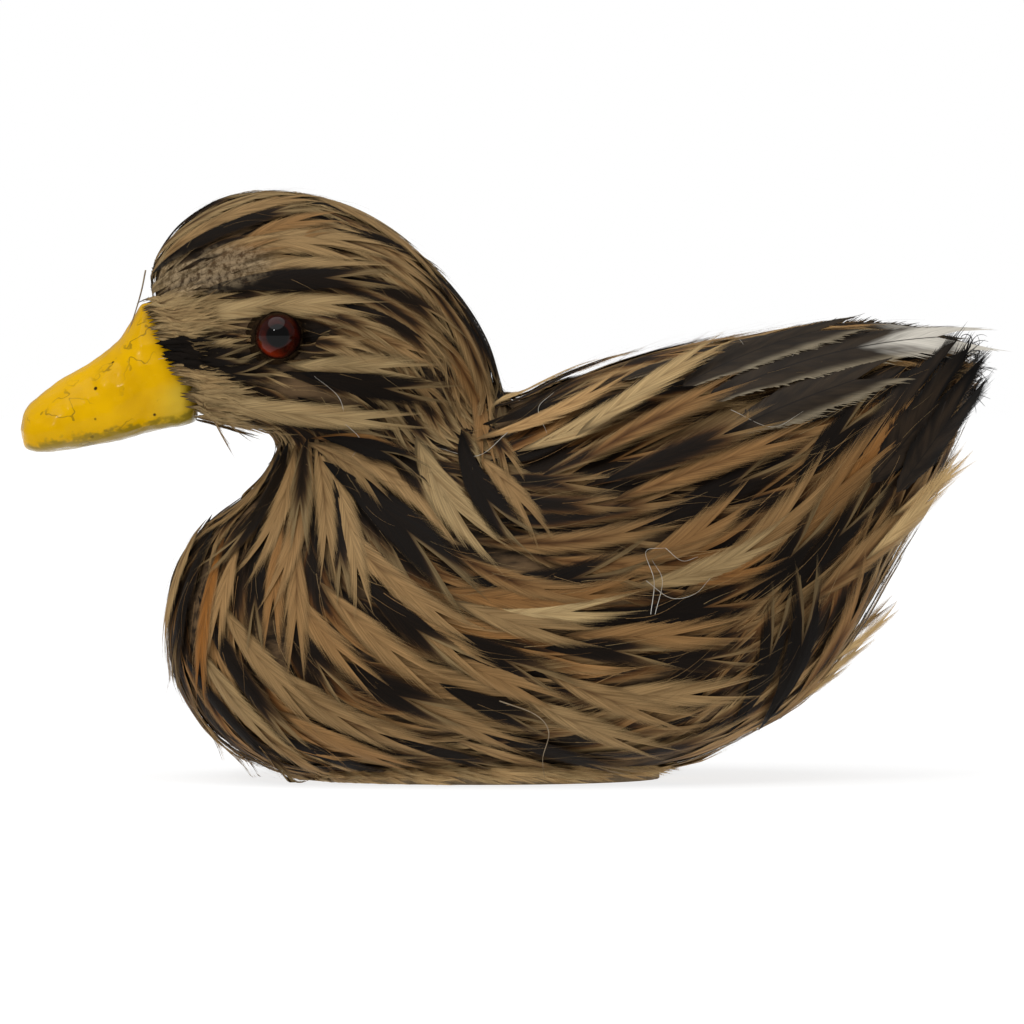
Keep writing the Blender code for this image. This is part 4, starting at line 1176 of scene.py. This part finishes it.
# The dark feathers at the side of the tail: root and tip in the side view, read off the photograph,
# and half width.
# The first of these, along the underside of the grey quill, is in part a dark feather and in part painted
# shade under that quill.
TAIL_FAN = (
    ((74.0, 91.0), (113.0, 110.0), 4.5), ((85.0, 80.0), (116.0, 111.5), 6.0),
    ((91.0, 75.0), (119.0, 110.5), 6.5), ((97.0, 73.0), (119.5, 105.0), 5.5),
)


def quill_look(half, base, streak, warmth, **more):
    look = {
        "half": half, "lift": 0.8, "base": base, "streak": streak, "warmth": warmth,
        "bright": 0.5, "fray": 0.2, "angle_root": 36, "angle_tip": 15, "droop": 0.8,
    }
    look.update(more)
    return look


def finish_piece(piece, slot, *nodes):
    if nodes:
        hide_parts(*nodes)
    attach(piece, "root")


def grow_quills(skin, grey, dark):
    form = FeatherForm(72)
    for side, sign in (("left", -1), ("right", 1)):
        for number, (name, quill) in enumerate(GREY_QUILLS.items()):
            start, end, bend, half, base, tip, both = quill
            plumage = Plumage(skin)
            points, normals = plumage.spine_between(start, end, bend, sign)
            plumage.add(form, points, normals, quill_look(half, base, tip, both), 100 + number + 10 * sign)
            if number == 0:
                start, end, bend, half, base, tip, both = LONG_SCAPULAR
                points, normals = plumage.spine_between(start, end, bend, sign)
                plumage.add(form, points, normals, quill_look(half, base, tip, both), 140 + sign)
            finish_piece(
                plumage.build(f"{name}_{side}_feather", grey), "grey_feather", f"{name}_{side}"
            )
        plumage = Plumage(skin)
        for number, (root, tip, half) in enumerate(TAIL_FAN):
            foot = skin.from_side(*root, sign)[0]
            points = foot + STEPS * (np.array([tip[0], sign * 9.0, tip[1]]) - foot)
            points[:, 1] += sign * (0.6 + 1.6 * np.sin(math.pi * STEPS[:, 0]))
            outwards = unit(sum(skin.nearest(p)[1] for p in points[1:6]))
            look = quill_look(
                half, 1.0 + 0.4 * number, 1.0, 1.0, bright=0.40,
                angle_root=38, angle_tip=7, droop=1.0, lift=0.2, free=True,
            )
            plumage.add(form, points, np.tile(outwards, (STATIONS, 1)), look, 300 + 10 * number + sign)
        finish_piece(
            plumage.build(f"tail_quill_side_{side}_feather", dark),
            "dark_feather", f"tail_quill_side_{side}",
        )
    plumage = Plumage(skin)
    for number, tilt in enumerate((-0.5, 0.45)):
        line = np.array([[62.0, tilt * 8, 111.6]]) + STEPS * np.array([[57.0, tilt * 1, -0.8]])
        line[:, 2] += 4.6 * np.sin(math.pi * STEPS[:, 0])
        tops = unit(np.tile([0.05, tilt, 1.0], (STATIONS, 1)))
        look = quill_look(6.5, 0.6, 0.6, 0.0, bright=0.42, droop=1.6, lift=0.3)
        plumage.add(form, line, tops, look, 320 + number)
    finish_piece(plumage.build("tail_quill_ridge_feathers", grey), "dark_feather", "tail_quill_ridge")


# ---------------------------------------------------------------- bill, eyes, base and loose threads

# Lumps of the enamel on the left, placed from the photograph: x, z, spread and height. The
# right side has its own, further on.
BILL_LUMPS = (
    (-103.0, 101.0, 2.6, 0.75), (-101.0, 104.5, 1.8, 0.4), (-112.0, 95.0, 1.8, 0.45),
    (-116.5, 88.5, 2.4, 0.5), (-113.5, 88.0, 1.3, 0.35), (-107.0, 97.5, 1.4, 0.35),
)


def paint_bill():
    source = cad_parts["bill"]
    verts = [v.co / MM for v in source.data.vertices]
    faces = [tuple(p.vertices) for p in source.data.polygons]
    rough = mesh_object("bill_source", verts, faces, enamel_material())
    shape = rough.modifiers.new("even", "REMESH")
    shape.mode, shape.voxel_size = "VOXEL", 0.55 * MM
    relaxed = rough.modifiers.new("relax", "SMOOTH")
    relaxed.factor, relaxed.iterations = 0.5, 14
    mesh = evaluated(rough)
    bpy.data.objects.remove(rough)
    normals = [v.normal.copy() for v in mesh.vertices]
    for vertex, normal in zip(mesh.vertices, normals):
        x, y, z = vertex.co / MM
        height = 0.34 * bl_noise.noise(Vector((x / 8, y / 8, z / 8)))
        height += 0.14 * bl_noise.noise(Vector((x / 2.6, y / 2.6, z / 2.6)))
        shift = 0.0 if y < 0 else 4.0
        if abs(normal.y) > 0.25:
            for lump_x, lump_z, spread, tall in BILL_LUMPS:
                away = ((x - lump_x - shift) ** 2 + (z - lump_z - shift / 3) ** 2) / spread**2
                height += tall * math.exp(-(away**1.3)) * min(1.0, abs(normal.y) * 1.6)
        vertex.co += normal * (height + 0.15) * MM
    mesh.shade_smooth()
    bill = bpy.data.objects.new("bill_enamel", mesh)
    bpy.context.scene.collection.objects.link(bill)
    finish_piece(bill, "bill_paint", "bill")


def set_eyes(skin):
    """Glass beads turned about their own axes, with a slightly raised front."""
    glass = glass_material()
    lid_material = plain_material(
        "eye_ring_down", (24, 17, 10), (46, 33, 20), 900.0, (0.8, 0.95), **{"Specular IOR Level": 0.02}
    )
    around, rings = 64, 40
    for side, eye in zip(("left", "right"), EYES):
        out = math.copysign(1.0, eye[1])
        verts, faces, pattern = [], [], []
        for ring in range(rings + 1):
            angle = math.pi * 0.86 * ring / rings
            radius = EYE_RADIUS * math.sin(angle)
            depth = EYE_RADIUS * math.cos(angle) + 0.30 * math.exp(-((angle / 0.6) ** 2))
            for step in range(around):
                turn = math.tau * step / around
                x, z = radius * math.cos(turn), radius * math.sin(turn)
                verts.append((eye[0] + x, eye[1] + out * depth, eye[2] + z))
                edge = min(radius / EYE_RADIUS, 1.0) if angle < math.pi / 2 else 1.0
                # The painted glow's mask: strongest towards the lower front of the bead.
                painted_refraction_glow = max(0.0, -(0.45 * x + 0.85 * z) / EYE_RADIUS - 0.12)
                pattern.append((edge, painted_refraction_glow, 0.0, 1.0))
        for ring in range(rings):
            for step in range(around):
                a, b = ring * around + step, ring * around + (step + 1) % around
                quad = (a, b, b + around, a + around)
                faces.append(quad if out < 0 else quad[::-1])
        faces.append(tuple(range(around * rings, around * (rings + 1)))[:: -1 if out > 0 else 1])
        piece = mesh_object(f"eye_bead_{side}", verts, faces, glass)
        ringed = piece.data.attributes.new("ring", "FLOAT_COLOR", "POINT")
        ringed.data.foreach_set("color", np.array(pattern, float).ravel())
        finish_piece(piece, "eye_glass", f"eye_glass_{side}")
        verts, faces = [], []
        local = np.random.default_rng(11)
        turns = np.linspace(0, math.tau, 12, endpoint=False)
        rim = [skin.nearest(eye + (8 * math.cos(a), 2 * out, 8 * math.sin(a)))[0][1] for a in turns]
        level = abs(np.mean(rim)) - abs(eye[1])
        profile = ((5.2, -1.0), (5.6, 0.7), (5.95, 0.9), (6.3, 0.6), (7.0, -0.1), (8.2, -1.0))
        for radius, depth in profile:
            depth += level
            for step in range(around):
                turn = math.tau * step / around
                reach = radius + 0.12 * local.normal()
                x, z = reach * math.cos(turn), reach * math.sin(turn)
                verts.append((eye[0] + x, eye[1] + out * (depth + 0.08 * local.normal()), eye[2] + z))
        for ring in range(len(profile) - 1):
            for step in range(around):
                a, b = ring * around + step, ring * around + (step + 1) % around
                quad = (a, b, b + around, a + around)
                faces.append(quad if out > 0 else quad[::-1])
        lid = mesh_object(f"eye_ring_{side}", verts, faces, lid_material)
        finish_piece(lid, "dark_feather")


def thread_mesh(lines):
    """Tapering five-sided tubes along smooth curves. Each line is its points and a radius."""
    verts, faces = [], []
    for points, radius in lines:
        points = np.array(points, float)
        count = 6 * (len(points) - 1) + 1
        path = catmull(np.linspace(0, len(points) - 1, count), len(points)) @ points
        ways = unit(np.gradient(path, axis=0))
        first = unit(np.cross(ways, (0.31, 0.52, 0.79)))
        second = np.cross(ways, first)
        start = len(verts)
        for k in range(count):
            size = radius * (1 - 0.75 * (k / (count - 1)) ** 2)
            for step in range(5):
                turn = math.tau * step / 5
                verts.append(path[k] + size * (first[k] * math.cos(turn) + second[k] * math.sin(turn)))
        for k in range(count - 1):
            for step in range(5):
                a, b = start + 5 * k + step, start + 5 * k + (step + 1) % 5
                faces.append((a, b, b + 5, a + 5))
        faces.append(tuple(range(start + 4, start - 1, -1)))
        faces.append(tuple(range(start + 5 * (count - 1), start + 5 * count)))
    return verts, faces


# Loose threads on the left side, read off the photograph: radius, height over the coat, then
# x and z along each.
WHITE_THREADS = (
    (0.10, 4.0, (35, 42, 36, 50, 34, 57, 39, 58)), (0.08, 4.4, (36, 42, 38, 50, 35.5, 55)),
    (0.08, 3.8, (39, 58, 43, 55, 47, 56)), (0.08, 4.2, (34, 50, 40, 46, 46, 47, 50, 51)),
    (0.08, 2.6, (-42, 92, -44, 98, -50, 103)), (0.08, 2.6, (-43, 92, -38, 86, -40, 81)),
    (0.06, 2.2, (-89.5, 107, -80, 109, -74, 112)), (0.07, 3.0, (12, 96, 8, 92, 10, 86)),
    (0.07, 3.6, (56, 100, 60, 106, 58, 110)), (0.07, 3.8, (70, 103, 76, 108, 88, 104)),
    (0.07, 3.6, (56, 92, 66, 88, 74, 92)), (0.09, 3.0, (0, 86, -8, 80, -18, 82)),
)
STRAW_THREADS = (
    (0.16, 3.4, (-3, 21, 6, 18, 9.5, 14, 8, 8, 8.5, 2.5)),
    (0.22, 0.8, (-93.2, 129.8, -94.4, 124, -96.2, 117, -99.0, 108.5)),
)


FRINGE_CURLS = 40  # on each side


def lay_threads(skin):
    """The loose threads, and the black fringe of the tail."""
    def on_side(numbers, height, sign):
        points = []
        for x, z in zip(numbers[::2], numbers[1::2]):
            hit = skin.from_side(x, z, sign)
            if hit is None:
                found, normal = cast_from_side(tree, x, z, sign)
                if found is None:
                    last = points[-1][1] if points else sign * 1.5
                    points.append((x, last, z))
                    continue
                hit = (np.array(found), np.array(normal) * 0.3)
            points.append(hit[0] + hit[1] * height)
        return points

    tree = bill_tree()
    white = plain_material("loose_white", (196, 192, 182), (150, 140, 124), 300.0, (0.5, 0.7))
    straw = plain_material("loose_straw", (150, 132, 104), (104, 84, 60), 260.0, (0.5, 0.7))
    for name, table, look, slot in (
        ("white_threads", WHITE_THREADS, white, "buff_feather"),
        ("straw_threads", STRAW_THREADS, straw, "tan_feather"),
    ):
        lines = []
        for sign in (-1, 1):
            for number, (radius, height, numbers) in enumerate(table):
                if sign > 0 and numbers[0] < -90:
                    continue
                local = np.random.default_rng(60 + number)
                moved = np.array(numbers, float) + local.normal(0, 1.2, len(numbers)) * (sign > 0)
                lines.append((on_side(moved, height, sign), radius))
        finish_piece(mesh_object(name, *thread_mesh(lines), look), slot)

    # The black fringe of the tail: short curls along the rear edge of the side quills.
    lines = []
    local = np.random.default_rng(77)
    for sign in (-1, 1):
        for number in range(FRINGE_CURLS):
            t = number / (FRINGE_CURLS - 1)
            root = np.array([117.5 + 2.0 * t - 4.5 * t * t, sign * (7.0 + 3.0 * t), 110.5 - 13.0 * t])
            long, curl = local.uniform(2.5, 6.5), local.normal(0, 1.7)
            heading = math.radians(15 - 50 * t + local.normal(0, 28))
            path = []
            for k in range(6):
                path.append(root + (0, sign * 0.25 * k, 0))
                root = root + np.array([math.cos(heading), 0, math.sin(heading)]) * long / 5
                heading += curl * 0.5
            lines.append((path, local.uniform(0.08, 0.15)))
    black = plain_material("tail_fringe", (20, 17, 14), (38, 32, 26), 300.0, (0.45, 0.6))
    finish_piece(mesh_object("tail_fringe", *thread_mesh(lines), black), "dark_feather")


def scatter_wisps(skin, coat):
    """Fine single barbs that lie loose over the coat, as narrow ribbons along the flow."""
    plumage = Plumage(skin)
    faces = [(2 * k, 2 * k + 1, 2 * k + 3, 2 * k + 2) for k in range(STATIONS - 1)]
    for number, (spot, node) in enumerate(scattered_roots(skin, lambda n: WISP_SPACING)):
        local = np.random.default_rng(40000 + number)
        on_head = tract_of(node) in HEAD_TRACTS
        eye = min(EYES, key=lambda e: np.linalg.norm(e - spot))
        long = local.uniform(9, 16) if on_head else local.uniform(12, 24)
        if under_pad(spot) or "tail_base" in node or "lore" in node:
            continue
        turn = local.normal(0, 0.16)
        points, normals = plumage.spine_by_flow(spot, GUIDES["head" if on_head else "body"], long, turn)
        if np.linalg.norm(points - eye, axis=1).min() < EYE_CLEAR + 1.5:
            continue
        base, lift = PLACED_HEIGHTS.get(tract_of(node), USUAL_HEIGHTS)
        t = np.linspace(0, 1, STATIONS)[:, None]
        height = base + 0.3 + (lift + local.uniform(-0.3, 0.9)) * t
        sides = unit(np.cross(normals, unit(np.gradient(points, axis=0))))
        width = local.uniform(0.03, 0.06) * (1 - 0.7 * t)
        sway = local.normal(0, 0.9) * np.sin(t * math.pi * local.uniform(0.6, 1.4))
        middle = points + normals * height + sides * sway
        spots = np.stack([middle - sides * width, middle + sides * width], axis=1).reshape(-1, 3)
        spots[:, 2] = np.maximum(spots[:, 2], 0.3)
        plumage.verts.append(spots)
        plumage.faces += [tuple(k + plumage.start for k in face) for face in faces]
        uv = np.repeat(np.linspace(0.3, 0.9, STATIONS), 2)
        plumage.uvs.append(np.stack([uv, np.full(len(uv), 0.9)], axis=1))
        plume = (0.02, local.uniform(0.0, 0.8), local.uniform(0.20, 0.50), local.random())
        plumage.plumes.append(np.tile(plume, (len(spots), 1)))
        plumage.start += len(spots)
    finish_piece(plumage.build("loose_barbs", coat), "tan_feather")


def skirt_base(skin, coat):
    """A ragged pale rim of small feathers round the base pad."""
    plumage = Plumage(skin)
    form = FeatherForm(26)
    middle, half = (PAD_LOW + PAD_HIGH) / 2, (PAD_HIGH - PAD_LOW) / 2
    local = np.random.default_rng(31)
    count = 150
    for number in range(count):
        turn = math.tau * (number + local.random() * 0.8) / count
        out = unit(np.array([math.cos(turn) / half[0], math.sin(turn) / half[1], 0.0]))
        start = middle + np.array([half[0] * math.cos(turn), half[1] * math.sin(turn), 0]) + out * 0.5
        start[2] = local.uniform(2.6, 5.0)
        way = unit(np.array([1.0, 0.0, 0.0]) - out * out[0] * 0.85)
        way = unit(way * 0.9 + out * 0.35 + np.array([0, 0, -0.16]))
        length = local.uniform(11, 19) * (1 - 0.75 * max(0.0, out[0]))
        steps = np.linspace(0, length, STATIONS)[:, None]
        points = start + way * steps
        points[:, 2] = np.maximum(points[:, 2], 1.2)
        normals = unit(np.tile(out + np.array([0, 0, -0.35]), (STATIONS, 1)))
        look = {
            "half": local.uniform(1.8, 2.8), "lift": 0.6, "base": 0.2, "streak": 0.05,
            "warmth": local.uniform(0.0, 0.3), "bright": local.uniform(0.60, 0.85),
            "fray": 0.6, "droop": 0.2,
        }
        plumage.add(form, points, normals, look, 700 + number)
    finish_piece(plumage.build("base_rim_feathers", coat), "buff_feather")


def finish_inner_parts():
    """The solids that stay as they are get their own surfaces."""
    foam = plain_material("core_foam", (206, 196, 176), (188, 176, 152), 260.0, (0.85, 0.95))
    wood = plain_material("dowel_wood", (196, 160, 112), (168, 128, 82), 120.0, (0.5, 0.7))
    felt = plain_material("base_felt", (138, 118, 90), (108, 90, 66), 380.0, (0.9, 1.0), 0.8, 0.0006)
    pupil = plain_material("pupil_paint", (10, 9, 9), (18, 16, 15), 300.0, (0.3, 0.45))
    wire = plain_material("wire_steel", (150, 150, 152), (120, 120, 124), 300.0, (0.25, 0.4), Metallic=1.0)
    for node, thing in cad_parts.items():
        for words, look in (
            ("core", foam), ("dowel", wood), ("peg", wood), ("base_pad", felt),
            ("eye_pupil", pupil), ("eye_wire", wire),
        ):
            if words in node:
                thing.material_slots[0].material = look


# ---------------------------------------------------------------- the whole duck


def build():
    skin_mesh = undercoat_mesh()
    skin = Skin(skin_mesh)
    # The undercoat shows in the gaps between feathers, where its dark colour is in part painted shade.
    undercoat = bpy.data.objects.new("down_and_gap_shade_undercoat", skin_mesh)
    bpy.context.scene.collection.objects.link(undercoat)
    finish_piece(undercoat, "tan_feather")
    coat = coat_material()
    grow_coat(skin, coat)
    scatter_wisps(skin, coat)
    skirt_base(skin, coat)
    grey = quill_material(
        "grey_quill", (50, 40, 29), (33, 26, 19), (140, 128, 106), 0.5, (206, 200, 188), 0.66
    )
    dark = quill_material(
        "dark_quill", (50, 39, 28), (30, 23, 17), (15, 12, 9), 0.45, (10, 8, 7), 0.82
    )
    grow_quills(skin, grey, dark)
    paint_bill()
    set_eyes(skin)
    lay_threads(skin)
    finish_inner_parts()


FOCAL, SENSOR = 300.0, 36.0  # of the camera, in millimetres
VIEW_WIDTH = 0.2617  # metres across the picture, at the duck
AMBIENT = 0.35  # of the studio, where the background itself isn't seen


def stage():
    floor_material, tree, shader = new_material("pale_floor")
    place = add(tree, "TexCoord")["Object"]
    tint = mixed(tree, noise(tree, place, 3.0), srgb(152, 152, 152), srgb(147, 147, 147))
    tree.links.new(tint, shader.inputs["Base Color"])
    shader.inputs["Roughness"].default_value = 0.9
    shader.inputs["Specular IOR Level"].default_value = 0.0
    shader.inputs["Emission Color"].default_value = (1, 1, 1, 1)
    shader.inputs["Emission Strength"].default_value = 0.80
    bpy.ops.mesh.primitive_plane_add(size=12.0, location=(0, 0, -0.0002))
    floor = bpy.context.object
    floor.name = "floor"
    floor.data.materials.append(floor_material)

    world = bpy.data.worlds.new("studio")
    world.use_nodes = True
    tree = world.node_tree
    background = tree.nodes["Background"]
    background.inputs["Color"].default_value = (1, 1, 1, 1)
    seen = tree.nodes.new("ShaderNodeLightPath").outputs["Is Camera Ray"]
    tree.links.new(ramped(tree, seen, 0.0, 1.0, AMBIENT, 1.0), background.inputs["Strength"])
    bpy.context.scene.world = world

    def turned(thing, place):
        thing.location = place
        thing.rotation_euler = (Vector((0, 0, 0.07)) - Vector(place)).to_track_quat("-Z", "Y").to_euler()
        bpy.context.scene.collection.objects.link(thing)

    sky = bpy.data.lights.new("overhead", "SUN")
    sky.energy, sky.angle = 1.9, math.radians(70)
    turned(bpy.data.objects.new("overhead", sky), (-0.15, -0.35, 1.1))
    lamp = bpy.data.lights.new("key", "AREA")
    lamp.shape, lamp.size, lamp.energy = "DISK", 0.07, 1.0
    turned(bpy.data.objects.new("key", lamp), (-0.42, -0.75, 0.62))

    data = bpy.data.cameras.new("camera")
    data.lens, data.sensor_width = FOCAL, SENSOR
    data.clip_start, data.clip_end = 0.05, 30.0
    camera = bpy.data.objects.new("camera", data)
    elevation = math.radians(1.5)
    distance = VIEW_WIDTH * FOCAL / SENSOR
    aim = Vector((0.0003, 0, 0.0680))
    camera.location = aim + Vector((0, -math.cos(elevation), math.sin(elevation))) * distance
    camera.rotation_euler = (math.pi / 2 - elevation, 0, 0)
    bpy.context.scene.collection.objects.link(camera)
    bpy.context.scene.camera = camera
    bpy.context.scene.view_settings.view_transform = "Standard"


build()
stage()
